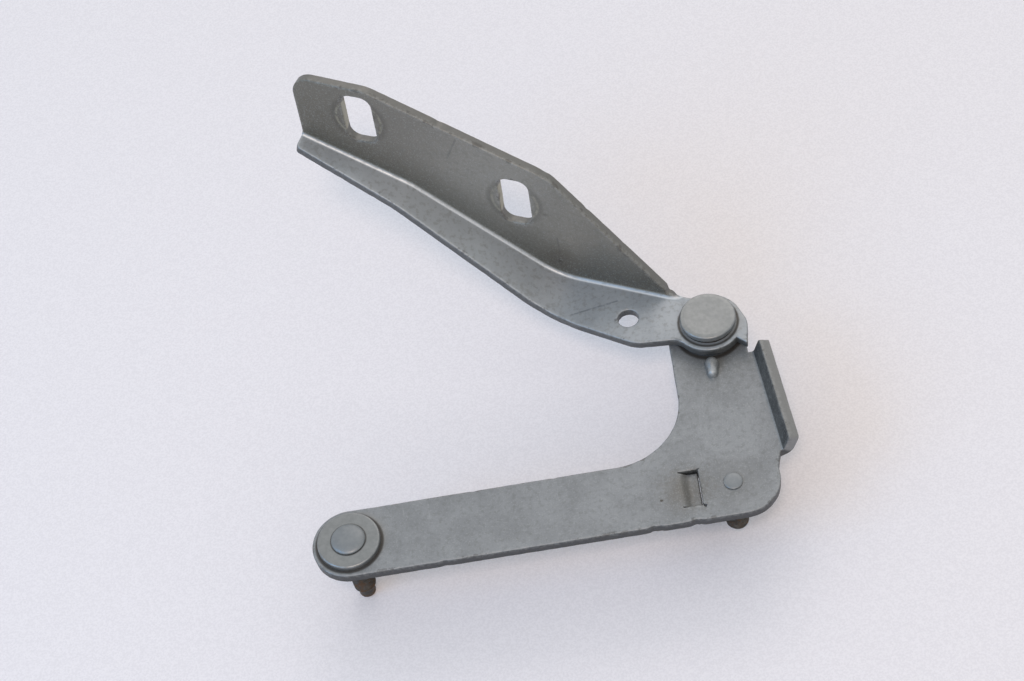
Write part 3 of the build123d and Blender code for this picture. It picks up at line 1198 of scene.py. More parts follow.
@dataclass(frozen=True)
class CoatedSheet(Finish):
    """Thin grey coating on pressed steel, scuffed and marked, with light and shade painted on it.

    Attributes:
        pale: colour of the lighter clouds on the flat leaf.
        leaf: colour of the bent leaf, a darker copy of the coating as painted shade.
        deep: colour of its darker clouds, and of the mottling.
        bright: colour of the grain, the rubbed lines and the worn edges.
        dark: colour of dirt, and of the painted shade round parts that stand on the sheet.
        bend_shade_colour: colour of the painted shade, darker and browner, low on the bent leaf.
        sheared: colour of the flat leaf's cut edges: rough sheared steel, darkened further as painted shade.
        sheared_lit: colour of the bent leaf's cut edges, lightened as painted light.
        chipped: colour of bare metal round a bolt.
        crown: colour of the painted highlight along the bend.
        bend_shade: how strong the painted shade low on the bent leaf is.
        highlight_share: how strong the painted highlight along the bend is.
        scuffs: how many rubbed lines there are.
    """

    pale: Colour = (0.275, 0.293, 0.315)
    leaf: Colour = (0.235, 0.225, 0.2)
    deep: Colour = (0.18, 0.175, 0.155)
    bright: Colour = (0.42, 0.44, 0.45)
    dark: Colour = (0.05, 0.045, 0.04)
    bend_shade_colour: Colour = (0.085, 0.08, 0.066)
    sheared: Colour = (0.08, 0.085, 0.088)
    sheared_lit: Colour = (0.2, 0.203, 0.2)
    chipped: Colour = (0.46, 0.45, 0.36)
    crown: Colour = (0.68, 0.72, 0.76)
    bend_shade: float = 0.0
    highlight_share: float = 0.0
    scuffs: float = 0.5

    def material(self, name: str, effects: Effects, wear: WearAndPaintedLight) -> bpy.types.Material:
        """Builds the finish.

        Args:
            name: the material's name.
            effects: the shared node groups.
            wear: the sheet's marks.

        Returns:
            The material.
        """
        material, desk, shader = self.start(name)
        coat = desk.effect(effects.coat)
        scuff = desk.effect(effects.scuffs, Amount=self.scuffs)
        zone = desk.own("zone")
        on_leaf = desk.span(zone, 0.45, 0.9)
        # Painted highlight: a light line along the bend, as if it caught a lamp; the bend is also made a
        # little less rough.
        crown = desk.times(desk.span(zone, 0.1, 0.2), desk.span(zone, 0.42, 0.28))
        crown = desk.times(crown, self.highlight_share)
        colour = self.leaves(desk, effects, wear, coat["Clouds"], zone, on_leaf)
        colour = desk.tint(colour, self.deep, desk.span(coat["Mottle"], 0.5, 1.0), 0.34)
        colour = desk.tint(colour, self.bright, desk.span(coat["Grain"], 0.5, 0.72), 0.30)
        colour = desk.tint(colour, self.bright, scuff["Lines"], 0.45)
        colour = desk.tint(colour, self.deep, scuff["Patches"], 0.35)
        height = desk.minus(coat["Height"], desk.times(scuff["Lines"], 0.8))
        colour, height, chips = self.seated(desk, effects, wear.seats, colour, height)
        # Painted shade, with some dirt, in a ring round each part that stands on the sheet.
        for contact_shade in wear.contact_shades:
            ring = desk.effect(effects.ring, Centre=contact_shade.centre, Radius=contact_shade.radius, Width=contact_shade.width)
            colour = desk.tint(colour, self.dark, ring["Band"], 0.88)
        for line in wear.scratches:
            mask = desk.effect(effects.scratch, A=line.start, B=line.end, Width=line.width)["Mask"]
            colour = desk.tint(colour, line.colour, mask, line.strength)
        colour = desk.tint(colour, self.torn(desk, coat["Grain"], on_leaf, chips), desk.own("cut"), 0.9)
        edge = desk.effect(effects.edges)
        colour = desk.tint(colour, self.bright, edge["Bright"], 0.2)
        colour = desk.tint(colour, self.dark, edge["Dark"], 0.4)
        # The painted highlight along the bend goes on over all else.
        desk.feed(shader.inputs["Base Color"], desk.mix(crown, colour, self.crown))
        rough = desk.minus(self.roughness + 0.05, desk.times(scuff["Lines"], 0.15))
        rough = desk.plus(rough, desk.times(coat["Mottle"], 0.08))
        desk.feed(shader.inputs["Roughness"], desk.minus(rough, desk.times(crown, 0.12)))
        self.relief(desk, shader, height)
        return material

    def leaves(
        self, desk: Desk, effects: Effects, wear: WearAndPaintedLight, clouds: Socket, zone: Socket, on_leaf: Socket
    ) -> Socket:
        """Colour of the flat leaf and of the bent one, each with its own marks; the bent leaf is a darker
        copy as painted shade.

        Args:
            desk: the material's desk.
            effects: the shared node groups.
            wear: the sheet's marks.
            clouds: where the coating is lighter.
            zone: 0 on the flat leaf, and 1 or more on the bent one.
            on_leaf: 1 on the bent leaf.

        Returns:
            The colour's socket.
        """
        colour = desk.mix(clouds, self.base, self.pale)
        for mark in wear.marks:
            colour = desk.tint(colour, mark.colour, self.spot(desk, effects, mark), mark.strength)
        # Painted shade: the bent leaf takes a darker copy of the coating.
        colour = desk.mix(on_leaf, colour, desk.mix(desk.times(clouds, 0.5), self.leaf, self.deep))
        # Painted shade: darker and browner low on the bent leaf, nearest the bend.
        bend_shade_share = desk.span(zone, 1.75, 1.0, 0.0, self.bend_shade)
        colour = desk.tint(colour, self.bend_shade_colour, on_leaf, bend_shade_share)
        for mark in wear.leaf_marks:
            share = desk.times(self.spot(desk, effects, mark), mark.strength)
            colour = desk.tint(colour, mark.colour, share, on_leaf)
        return colour

    def spot(self, desk: Desk, effects: Effects, mark: Mark) -> Socket:
        """Where a mark is."""
        return desk.effect(effects.smudge, Centre=mark.centre, Radius=mark.radius, Soft=mark.soft)["Mask"]

    def seated(
        self, desk: Desk, effects: Effects, seats: Sequence[Ring], colour: Socket, height: Socket
    ) -> tuple[Socket, Socket, list[Socket]]:
        """Adds the rings of bolts' flanges, each in a wider band of dirt.

        Args:
            desk: the material's desk.
            effects: the shared node groups.
            seats: the rings.
            colour: the colour so far.
            height: the relief so far.

        Returns:
            The new colour, the new relief and, for each ring, where its disc lies.
        """
        discs = []
        for seat in seats:
            ring = desk.effect(effects.ring, Centre=seat.centre, Radius=seat.radius, Width=seat.width)
            halo = desk.effect(effects.ring, Centre=seat.centre, Radius=seat.radius + 0.6, Width=2.6)
            colour = desk.tint(colour, self.dark, halo["Band"], 0.3)
            colour = desk.tint(colour, self.chipped, ring["Ring"], 0.32)
            height = desk.minus(height, desk.times(ring["Band"], 1.2))
            discs.append(ring["Disc"])
        return colour, height, discs

    def torn(self, desk: Desk, grain: Socket, on_leaf: Socket, chips: list[Socket]) -> Socket:
        """Colour of the cut edges: the flat leaf's darkened as painted shade, the bent leaf's lightened as
        painted light.

        Args:
            desk: the material's desk.
            grain: the fine grain.
            on_leaf: 1 on the bent leaf.
            chips: where bolts have chipped the edges bare.

        Returns:
            The colour's socket.
        """
        # Painted light and shade: the bent leaf's cut edges lighter, the flat leaf's darker.
        colour = desk.tint(desk.mix(on_leaf, self.sheared, self.sheared_lit), self.dark, grain, 0.4)
        return desk.tint(colour, self.chipped, desk.most(chips), 0.7) if chips else colour


@dataclass(frozen=True)
class RustySteel(Finish):
    """Bare or phosphated steel with rust on it.

    Attributes:
        bright: colour of its mottling and its worn edges.
        rust: colour of the rust.
        grime_and_shade: colour of the dirt and the painted shade in its corners.
        amount: how much rust there is.
    """

    bright: Colour = (0.3, 0.29, 0.28)
    rust: Colour = (0.10, 0.055, 0.03)
    grime_and_shade: Colour = (0.03, 0.028, 0.026)
    amount: float = 0.5

    def material(self, name: str, effects: Effects) -> bpy.types.Material:
        """Builds the finish.

        Args:
            name: the material's name.
            effects: the shared node groups.

        Returns:
            The material.
        """
        material, desk, shader = self.start(name)
        rust = desk.effect(effects.rust, Amount=self.amount)
        coat = desk.effect(effects.coat)
        colour = desk.tint(self.base, self.bright, coat["Mottle"], 0.4)
        colour = desk.tint(colour, self.bright, desk.effect(effects.edges)["Bright"], 0.7)
        colour = desk.mix(rust["Mask"], colour, self.rust)
        # Dirt and painted shade in the corners.
        colour = desk.mix(desk.span(desk.own("cut"), 0.35, 0.95), colour, self.grime_and_shade)
        desk.feed(shader.inputs["Base Color"], colour)
        desk.feed(shader.inputs["Roughness"], desk.span(rust["Mask"], 0.0, 1.0, self.roughness, 0.9))
        desk.feed(shader.inputs["Metallic"], desk.span(rust["Mask"], 0.0, 1.0, self.metallic, 0.0))
        self.relief(desk, shader, desk.plus(coat["Height"], rust["Height"]))
        return material


# Painted light and shade on the plate: a near-black lip face, near-black cut edges on the flat leaf and
# light ones on the lip.
PLATE_COAT = CoatedSheet(
    base=(0.225, 0.24, 0.258), leaf=(0.048, 0.052, 0.058), deep=(0.17, 0.18, 0.18),
    sheared=(0.048, 0.051, 0.054), sheared_lit=(0.30, 0.307, 0.312),
    metallic=0.5, roughness=0.4, bump=0.35, bump_size=0.06,
)
# The arm's coat paints shade low on its flange and a highlight along its bend.
ARM_COAT = CoatedSheet(
    base=(0.30, 0.328, 0.362), pale=(0.365, 0.395, 0.43), bend_shade=0.75, highlight_share=0.62,
    metallic=0.5, roughness=0.36, bump=0.35, bump_size=0.06,
)
FORGED = RustySteel(
    base=(0.24, 0.255, 0.265), bright=(0.34, 0.355, 0.37), metallic=0.8, roughness=0.38, amount=0.12,
)
PEENED = RustySteel(
    base=(0.21, 0.23, 0.25), bright=(0.29, 0.31, 0.325), metallic=0.5, roughness=0.42, amount=0.1,
)
PHOSPHATED = RustySteel(
    base=(0.05, 0.045, 0.04), bright=(0.16, 0.15, 0.14), metallic=0.6, roughness=0.55, amount=0.62, bump=0.6,
)
GREASED = RustySteel(
    base=(0.03, 0.028, 0.026), bright=(0.08, 0.075, 0.07), metallic=0.5, roughness=0.5, amount=0.3,
)


# The hinge's pieces

PIVOT = (1.5, 63.4)
STUD_SPACING = 132.0
PLATE_TOP = 7.3


def dress(piece: bpy.types.Object, body: Body, material: bpy.types.Material, node: str) -> None:
    """Gives a new piece its material, body and slot, and stands it in for a CAD node.

    Args:
        piece: the new piece.
        body: the body that it rides on.
        material: its material.
        node: the CAD node.
    """
    piece.data.materials.append(material)
    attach(piece, body.value)
    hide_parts(node)
    LOG.info("%s: %d faces, rides on %s", piece.name, len(piece.data.polygons), body.value)


@dataclass
class BodyPlate:
    """The J-shaped plate with its lip, tongue and stop rib.

    Attributes:
        thickness: the sheet's thickness.
        bottom: height of its underside.
        half_width: half the long arm's width.
        neck: how far the neck reaches left, right and over the pivot.
        neck_end_r: rounding of the neck's end.
        corner_r: rounding between the neck and the long arm.
        heel: where the heel ends along X, its rounding, and where its step to the lip lies.
        heel_step_r: rounding of that step.
        lip_corner: top corner of the lip's inner face.
        lip_length: the lip's length.
        lip_height: its height above the plate.
        lip_lean: how far it leans out, in degrees.
        lip_toe: how far its line is turned, in degrees.
        lip_corner_r: rounding of its corners.
        bend_r: inside radius of its bend.
        tongue_x: where the tongue starts.
        tongue_ramp: length of its slope.
        tongue_size: its length and width.
        tongue_drop: how far it is pressed down.
        gap: width of the slit round it.
        stop_angle: direction of the stop rib from the pivot, in degrees.
        stop_span: how far from the pivot it starts and ends.
        stop_r: radius of the rib.
        stop_nose_r: radius at its nose.
        stop_height: its height.
        recess_r: radius of the recess under it.
        recess_depth: depth of that recess.
        holes: radii of the holes for the two studs and the pivot.
        pitch: spacing of the points on the outline.
    """

    thickness: float = 3.8
    bottom: float = 3.5
    half_width: float = 13.0
    neck: tuple[float, float, float] = (15.0, 12.0, 13.0)
    neck_end_r: float = 12.0
    corner_r: float = 25.0
    heel: tuple[float, float, float] = (16.1, 13.3, 3.5)
    heel_step_r: float = 3.0
    lip_corner: tuple[float, float] = (15.3, 51.8)
    lip_length: float = 42.7
    lip_height: float = 6.6
    lip_lean: float = 19.0
    lip_toe: float = 4.5
    lip_corner_r: float = 1.2
    bend_r: float = 1.2
    tongue_x: float = -17.9
    tongue_ramp: float = 3.5
    tongue_size: tuple[float, float] = (6.5, 13.7)
    tongue_drop: float = 2.0
    gap: float = 0.16
    stop_angle: float = -95.0
    stop_span: tuple[float, float] = (12.8, 20.4)
    stop_r: float = 2.4
    stop_nose_r: float = 1.75
    stop_height: float = 3.8
    recess_r: float = 1.6
    recess_depth: float = 3.0
    holes: tuple[float, float, float] = (3.62, 2.62, 5.02)
    pitch: float = 0.75

    @property
    def turn(self) -> float:
        """Angle of the lip's bend, in radians."""
        return math.radians(90.0 - self.lip_lean)

    @property
    def bend_length(self) -> float:
        """Length of sheet taken up by the lip's bend, along its middle."""
        return (self.bend_r + self.thickness / 2) * self.turn

    @property
    def bend_set(self) -> float:
        """How far before the sharp corner the bend starts: r tan(turn / 2)."""
        return self.bend_r * math.tan(self.turn / 2)

    @property
    def lip_width(self) -> float:
        """Flat width of the lip from the start of its bend to its edge."""
        slant = self.lip_height / math.cos(math.radians(self.lip_lean))
        return self.bend_length + slant - self.bend_set

    def lip_axes(self) -> tuple[Array, Array, Array]:
        """Top corner of the lip's inner face, the way out of it, and the way down its length.

        Returns:
            The corner and the two ways.
        """
        toe = math.radians(self.lip_toe)
        out = np.array([math.cos(toe), math.sin(toe)])
        return np.array(self.lip_corner), out, np.array([out[1], -out[0]])

    def stop_axes(self) -> tuple[Array, Array]:
        """The way along the stop rib from the pivot, and the way across it."""
        a = math.radians(self.stop_angle)
        return np.array([math.cos(a), math.sin(a)]), np.array([-math.sin(a), math.cos(a)])

    def outline(self) -> Array:
        """Flat blank, anticlockwise from the front end, with the lip laid flat.

        Returns:
            The outline's points.
        """
        corner, out, down = self.lip_axes()
        root = corner - out * self.bend_set
        foot, width = down * self.lip_length, out * self.lip_width
        left, right, over = self.neck
        heel_x, heel_r, heel_step = self.heel
        top = PIVOT[1] + over
        front = arc_points(self.half_width, 90, 270, self.pitch)
        corners = [(x - STUD_SPACING, y, r) for x, y, r in front] + [
            (heel_x, -self.half_width, heel_r),
            (heel_x, heel_step, self.heel_step_r),
            (*(root + foot), 1.0),
            (*(root + foot + width), self.lip_corner_r),
            (*(root + width), self.lip_corner_r),
            (*root, 0.3),
            (PIVOT[0] + right, corner[1], 0.3),
            (PIVOT[0] + right, top, self.neck_end_r),
            (PIVOT[0] - left, top, self.neck_end_r),
            (PIVOT[0] - left, self.half_width, self.corner_r),
        ]
        return path(corners, self.pitch)

    def slit(self) -> Array:
        """U-shaped slit round the tongue, clockwise.

        Returns:
            The slit's points.
        """
        length, width = self.tongue_size
        x0, x1 = self.tongue_x, self.tongue_x + length
        h, g, sharp = width / 2, self.gap, 0.08
        corners = [
            (x0, h + g, sharp), (x1 + g, h + g, 0.5), (x1 + g, -h - g, 0.5), (x0, -h - g, sharp),
            (x0, -h, sharp), (x1, -h, 0.3), (x1, h, 0.3), (x0, h, sharp),
        ]
        return path(corners, 0.5)

    def rise(self, p: Array, radius: float, nose: float, height: float) -> Array:
        """Height of a round-topped finger that narrows to its nose.

        With r the radius there and d the distance from its line, the walls rise softly to
        height - r, and sqrt(r^2 - d^2) stands on them. The height falls by the narrowing.

        Args:
            p: points of the blank.
            radius: the finger's radius at its root.
            nose: its radius at the nose.
            height: its height at the root.

        Returns:
            The height at each point.
        """
        way, _ = self.stop_axes()
        rel = p - np.array(PIVOT)
        low, high = self.stop_span[0] + radius, self.stop_span[1] - nose
        along = np.clip(rel @ way, low, high)
        r = radius + (nose - radius) * smooth((along - low) / (high - low))
        d = np.linalg.norm(rel - along[:, None] * way, axis=1)
        wall = (height - radius) * (r / radius) * smooth((r + 0.35 - d) / 0.5)
        return wall + np.sqrt(np.maximum(r**2 - d**2, 0.0))

    def place(self, p: Array, depth: Array) -> Array:
        """Blank to plate: the lip is rolled up, the tongue pressed down and the rib pressed up.

        Past the bend line by d the sheet has turned by a = w d / L, with w the whole bend, so it
        lies at sin(a) and 1 - cos(a) times its radius, and then runs straight on.

        Args:
            p: points of the blank.
            depth: their depth below the top face.

        Returns:
            The points in space.
        """
        corner, out, down = self.lip_axes()
        rel = p - corner
        d = rel @ out + self.bend_set
        t = rel @ down
        a = np.clip(d / self.bend_length, 0, 1) * self.turn
        rho = self.bend_r + depth
        rest = np.maximum(d - self.bend_length, 0)
        over = -self.bend_set + np.minimum(d, 0) + rho * np.sin(a) + rest * math.cos(self.turn)
        up = self.thickness + self.bend_r - rho * np.cos(a) + rest * math.sin(self.turn)
        xy = corner + out * over[:, None] + down * t[:, None]
        share = depth / self.thickness
        z = self.bottom + up
        z = z + (1 - share) * self.rise(p, self.stop_r, self.stop_nose_r, self.stop_height)
        z = z + share * self.rise(p, self.recess_r, self.recess_r * 0.8, self.recess_depth)
        z = z - self.fall(p)
        return np.concatenate([xy, z[:, None]], 1)

    def fall(self, p: Array) -> Array:
        """How far the tongue's points are pressed down: a soft slope, and then level.

        Args:
            p: points of the blank.

        Returns:
            The drop of each point, 0 off the tongue.
        """
        length, width = self.tongue_size
        mid = self.gap / 2
        past = p[:, 0] - self.tongue_x
        on = (past > 0) & (past < length + mid) & (np.abs(p[:, 1]) < width / 2 + mid)
        return np.where(on, self.tongue_drop * smooth(past / self.tongue_ramp), 0.0)

    def on_lip(self, p: Array) -> Array:
        """1 past the lip's bend and 0 before it."""
        corner, out, _ = self.lip_axes()
        return smooth(((p - corner) @ out + self.bend_set) / self.bend_length)

    def fine_points(self) -> Array:
        """More points over the lip's bend, round the stop rib and on the tongue.

        Returns:
            The points of the blank.
        """
        corner, out, down = self.lip_axes()
        past = np.linspace(-0.2, self.bend_length + 0.2, 10)
        d, t = np.meshgrid(past, np.arange(0.6, self.lip_length, 1.3))
        bend = corner + (d.ravel() - self.bend_set)[:, None] * out + t.ravel()[:, None] * down
        way, side = self.stop_axes()
        r, w = np.meshgrid(np.arange(11.9, 20.6, 0.24), np.arange(-3.6, 3.61, 0.24))
        rib = np.array(PIVOT) + r.ravel()[:, None] * way + w.ravel()[:, None] * side
        x, y = np.meshgrid(np.arange(0.3, self.tongue_size[0], 0.5), np.arange(-6.4, 6.41, 0.8))
        tongue = np.stack([self.tongue_x + x.ravel(), y.ravel()], 1)
        return np.concatenate([bend, rib, tongue])

    def wear(self) -> WearAndPaintedLight:
        """A pit, a halo of dirt round the rear stud, a brown darkening over the tongue's slope, a darker
        patch in front of the pivot, a painted highlight on the stop rib's nose, and painted shade with some
        dirt round the washer and the pivot.

        Returns:
            The marks, in the hinge's frame.
        """
        return WearAndPaintedLight(
            marks=[
                Mark((-24.9, -3.2, PLATE_TOP), 0.35, 0.4, 0.9),
                # A soft brown darkening over the tongue's slope.
                Mark((-16.5, -0.2, PLATE_TOP), 5.0, 0.9, 0.55, (0.125, 0.11, 0.085)),
                Mark((2.2, 54.8, PLATE_TOP), 9.0, 0.9, 0.45, (0.11, 0.115, 0.11)),
                # Painted highlight: the stop rib's nose drawn lighter, as if lit.
                Mark((0.1, 43.9, 10.3), 1.5, 0.6, 0.75, (0.45, 0.48, 0.51)),
                Mark((0.0, 0.0, PLATE_TOP), 6.5, 0.9, 0.28, (0.12, 0.12, 0.115)),
            ],
            # Painted shade, with some dirt, round the washer and round the ear over the pivot.
            contact_shades=[Ring((-STUD_SPACING, 0.0, PLATE_TOP), 11.3, 1.0), Ring((*PIVOT, PLATE_TOP), 11.7, 1.3)],
        )

    def nicks(self) -> list[Nick]:
        """Bruises on the plate's edges.

        Returns:
            The nicks, on the blank.
        """
        front, back = -self.half_width, self.half_width
        return [
            Nick(-29.0, front, 1.3, 0.55), Nick(-26.6, front, 0.8, 0.35), Nick(-14.6, front, 1.2, 0.6),
            Nick(-12.8, front, 0.7, 0.4), Nick(-60.0, back, 0.9, 0.25), Nick(-88.0, back, 1.1, 0.2),
            Nick(14.0, 58.0, 0.9, 0.25), Nick(-100.0, front, 1.4, 0.3),
        ]

    def build(self, effects: Effects) -> None:
        """Makes the plate, coats it and stands it in for the CAD node.

        Args:
            effects: the shared shader effects.
        """
        places = [(-STUD_SPACING, 0.0), (0.0, 0.0), PIVOT]
        holes = [circle(x, y, r, self.pitch) for (x, y), r in zip(places, self.holes)]
        loops = [self.outline(), self.slit(), *holes]
        sheet = PressedSheet(
            self.place, self.on_lip, loops, self.thickness, self.fine_points(), self.nicks(), seed=11,
        )
        coat = PLATE_COAT.material("coated_plate", effects, self.wear())
        dress(sheet.shell().piece("plate_sheet"), Body.PLATE_SIDE, coat, "body_plate")


@dataclass
class BonnetArm:
    """The angle-section arm: web, climbing bend line and flange.

    Blank coordinates are u along the arm from the pivot, and v across it: back from the pivot on
    the web, and on up the flange.

    Attributes:
        thickness: the sheet's thickness.
        level: height of its underside at the pivot.
        direction: the way along the arm, in degrees.
        length: from the pivot to the tip.
        bend_r: inside radius of the bend.
        ear_r: radius of the ear round the pivot.
        flange_set: how far behind the pivot the flange's inner face starts.
        lean: how far the flange leans back, in degrees.
        ramp_start: where the web starts to climb.
        ramp_knee: where it climbs less steeply.
        ramp_angle: its first climb, in degrees.
        tip_angle: its second climb, in degrees.
        joggle_r: rounding of both knees.
        curl: between which points along the arm the bend fades in.
        root: (u, v, rounding) of the corner where the flange starts.
        crest: (u, height, rounding) of the flange's upper edge.
        web: (u, distance before the pivot, rounding) of the web's front edge.
        web_root: how far before the pivot that edge's line starts.
        neck_r: fillet between the ear and the web.
        tooth: radius and angle of the stop tooth's face, and of its back, in degrees.
        tooth_root: angle where the ear goes on behind the tooth, in degrees.
        tooth_back_r: rounding of the tooth's back.
        slots: centres of the bolt slots, along the arm and up the flange.
        slot_size: their width, length and rounding.
        gauge: place and radius of the gauge hole.
        bore_r: radius of the hole for the bush.
        pitch: spacing of the points on the outline.
    """

    thickness: float = 3.4
    level: float = 9.35
    direction: float = 154.0
    length: float = 152.0
    bend_r: float = 1.8
    ear_r: float = 12.2
    flange_set: float = 7.2
    lean: float = 5.0
    ramp_start: float = 58.0
    ramp_knee: float = 112.0
    ramp_angle: float = 31.4
    tip_angle: float = 20.9
    joggle_r: float = 30.0
    curl: tuple[float, float] = (10.0, 17.5)
    root: Corner = (18.0, 7.7, 0.8)
    crest: tuple[Corner, ...] = (
        (18.0, 6.2, 2.0), (58.5, 52.1, 14.0), (123.5, 78.0, 14.0), (152.0, 79.1, 7.5),
    )
    web: tuple[Corner, ...] = ((22.0, 15.4, 14.0), (45.0, 12.8, 14.0), (60.0, 9.7, 14.0), (152.0, -5.0, 2.0))
    web_root: float = 6.6
    neck_r: float = 7.0
    tooth: tuple[float, float, float, float] = (17.0, 162.0, 13.9, 198.0)
    tooth_root: float = 228.0
    tooth_back_r: float = 9.0
    slots: tuple[tuple[float, float], ...] = ((72.0, 33.9), (127.8, 60.8))
    slot_size: tuple[float, float, float] = (11.5, 21.3, 4.0)
    gauge: tuple[float, float, float] = (28.0, -5.5, 3.65)
    bore_r: float = 7.27
    pitch: float = 0.75

    @property
    def turn(self) -> float:
        """Full angle of the bend, in radians."""
        return math.radians(90.0 - self.lean)

    @property
    def bend_length(self) -> float:
        """Length of the bend along the inner face."""
        return self.bend_r * self.turn

    @property
    def bend_set(self) -> float:
        """How far before the sharp corner the bend starts: r tan(turn / 2)."""
        return self.bend_r * math.tan(self.turn / 2)

    def web_height(self, u: Array) -> Array:
        """Height of the web's top face: level, then 31 degrees, then 21, with arcs at both knees.

        An arc of radius r between slopes a and b reaches r tan((a - b) / 2) along each of them.

        Args:
            u: distances along the arm.

        Returns:
            The height at each of them, above the underside at the pivot.
        """
        s1, s2 = math.radians(self.ramp_angle), math.radians(self.tip_angle)
        r = self.joggle_r
        knee = self.thickness + (self.ramp_knee - self.ramp_start) * math.tan(s1)
        t1, t2 = r * math.tan(s1 / 2), r * math.tan((s1 - s2) / 2)
        ramp = self.thickness + (u - self.ramp_start) * math.tan(s1)
        tip = knee + (u - self.ramp_knee) * math.tan(s2)
        low_c = (self.ramp_start - t1, self.thickness + r)
        start = (self.ramp_knee - t2 * math.cos(s1), knee - t2 * math.sin(s1))
        high_c = (start[0] + r * math.sin(s1), start[1] - r * math.cos(s1))
        low_arc = low_c[1] - np.sqrt(np.maximum(r**2 - (u - low_c[0]) ** 2, 0))
        high_arc = high_c[1] + np.sqrt(np.maximum(r**2 - (u - high_c[0]) ** 2, 0))
        ends = [low_c[0], low_c[0] + r * math.sin(s1), start[0], self.ramp_knee + t2 * math.cos(s2)]
        level = np.full(np.shape(u), self.thickness)
        return np.select([u < end for end in ends], [level, low_arc, ramp, high_arc], tip)

    def bend_start(self, u: Array) -> Array:
        """Where the bend starts across the blank, further back as the web climbs."""
        line = self.flange_set + (self.web_height(u) - self.thickness) * math.tan(math.radians(self.lean))
        return line - self.bend_set

    def on_flange(self, u: Array, height: Array) -> Array:
        """Blank coordinate v of a point on the flange at a height above the web's underside."""
        climb = (height - self.web_height(u)) / math.cos(math.radians(self.lean))
        return self.bend_start(u) + self.bend_length + climb - self.bend_set

    def curled(self, u: Array) -> Array:
        """Share of the bend that the sheet has at each point along the arm: 0 on the ear, then 1."""
        return smooth((u - self.curl[0]) / (self.curl[1] - self.curl[0]))

    def inner(self, p: Array) -> Array:
        """The inner face: along, back and up for each blank point.

        The web is level across. Past the bend line by d the sheet turns evenly over the bend's
        length, so with w the angle so far it has gone d sin(w) / w back and d (1 - cos(w)) / w up,
        and then it runs straight. The full angle fades out over the ear.

        Args:
            p: points of the blank.

        Returns:
            The points in the arm's own axes.
        """
        u, v = p[:, 0], p[:, 1]
        d = v - self.bend_start(u)
        run = np.clip(d, 0, self.bend_length)
        full = self.turn * self.curled(u)
        w = np.maximum(full * run / self.bend_length, 1e-6)
        rest = np.maximum(d - self.bend_length, 0)
        back = np.minimum(v, self.bend_start(u)) + run * np.sin(w) / w + rest * np.cos(full)
        up = self.web_height(u) + run * (1 - np.cos(w)) / w + rest * np.sin(full)
        return np.stack([u, back, up], 1)

    def place(self, p: Array, depth: Array) -> Array:
        """Blank to arm: the inner face, less depth along its normal, turned into the hinge's frame.

        Args:
            p: points of the blank.
            depth: their depth below the inner face.

        Returns:
            The points in space.
        """
        step = 0.02
        du = self.inner(p + [step, 0]) - self.inner(p - [step, 0])
        dv = self.inner(p + [0, step]) - self.inner(p - [0, step])
        normal = unit(np.cross(du, dv))
        local = self.inner(p) - normal * np.asarray(depth)[:, None]
        a = math.radians(self.direction)
        along, back = np.array([math.cos(a), math.sin(a)]), np.array([math.sin(a), -math.cos(a)])
        xy = np.array(PIVOT) + local[:, :1] * along + local[:, 1:2] * back
        return np.concatenate([xy, local[:, 2:] + self.level], 1)

    def neck(self) -> tuple[list[Corner], float]:
        """Fillet between the ear's circle and the web's front edge.

        Its centre lies ear_r + neck_r from the pivot and neck_r from the edge's line.

        Returns:
            Points of the fillet in blank coordinates, and the ear's angle where it starts.
        """
        a = np.array([0.0, -self.web_root])
        way = unit(np.array([self.web[0][0], -self.web[0][1]]) - a)
        out = np.array([way[1], -way[0]])
        foot = a + out * self.neck_r
        b, c = foot @ way, foot @ foot - (self.ear_r + self.neck_r) ** 2
        centre = foot + way * (-b + math.sqrt(b * b - c))
        start, end = math.atan2(-centre[1], -centre[0]), math.atan2(-out[1], -out[0])
        turn = (end - start + math.pi) % (2 * math.pi) - math.pi
        t = start + np.linspace(0, turn, 9)
        x, y = centre
        fillet = [(x + self.neck_r * math.cos(k), y + self.neck_r * math.sin(k), 0.0) for k in t]
        return fillet, math.degrees(math.atan2(y, x)) % 360

    def outline(self) -> Array:
        """Blank of the arm, anticlockwise: ear, front edge, tip, crest and back to the ear.

        Returns:
            The outline's points.
        """
        face_r, face_angle, back_r, back_angle = self.tooth
        neck, neck_angle = self.neck()
        root_u, root_v, root_r = self.root
        start = math.degrees(math.asin(root_v / self.ear_r)) + 6
        before = arc_points(self.ear_r, start, 360 - self.tooth_root, 0.7)
        tooth = [polar(back_r, 360 - back_angle, self.tooth_back_r), polar(face_r, 360 - face_angle, 0.5)]
        behind = arc_points(self.ear_r, 360 - face_angle, neck_angle, 0.7)
        front = [(u, -before_pivot, r) for u, before_pivot, r in self.web]
        tip = (self.length, float(self.bend_start(np.array([self.length]))[0]), 0.0)
        lower = path(before + tooth + behind[:-1] + neck + front + [tip], self.pitch, closed=False)
        side = [(self.crest[0][0], self.thickness + 2.0, 0.0), *self.crest, (self.length, 60.0, 0.0)]
        crest = path(side, self.pitch, closed=False)[::-1]
        upper = np.stack([crest[:, 0], self.on_flange(crest[:, 0], crest[:, 1])], 1)
        foot = [(*upper[-1], 0.0), (root_u, root_v, root_r), (*lower[0], 0.0)]
        blend = path(foot, 0.5, closed=False)
        return np.concatenate([lower, between(lower[-1], upper[0], self.pitch), upper, blend[1:-1]])

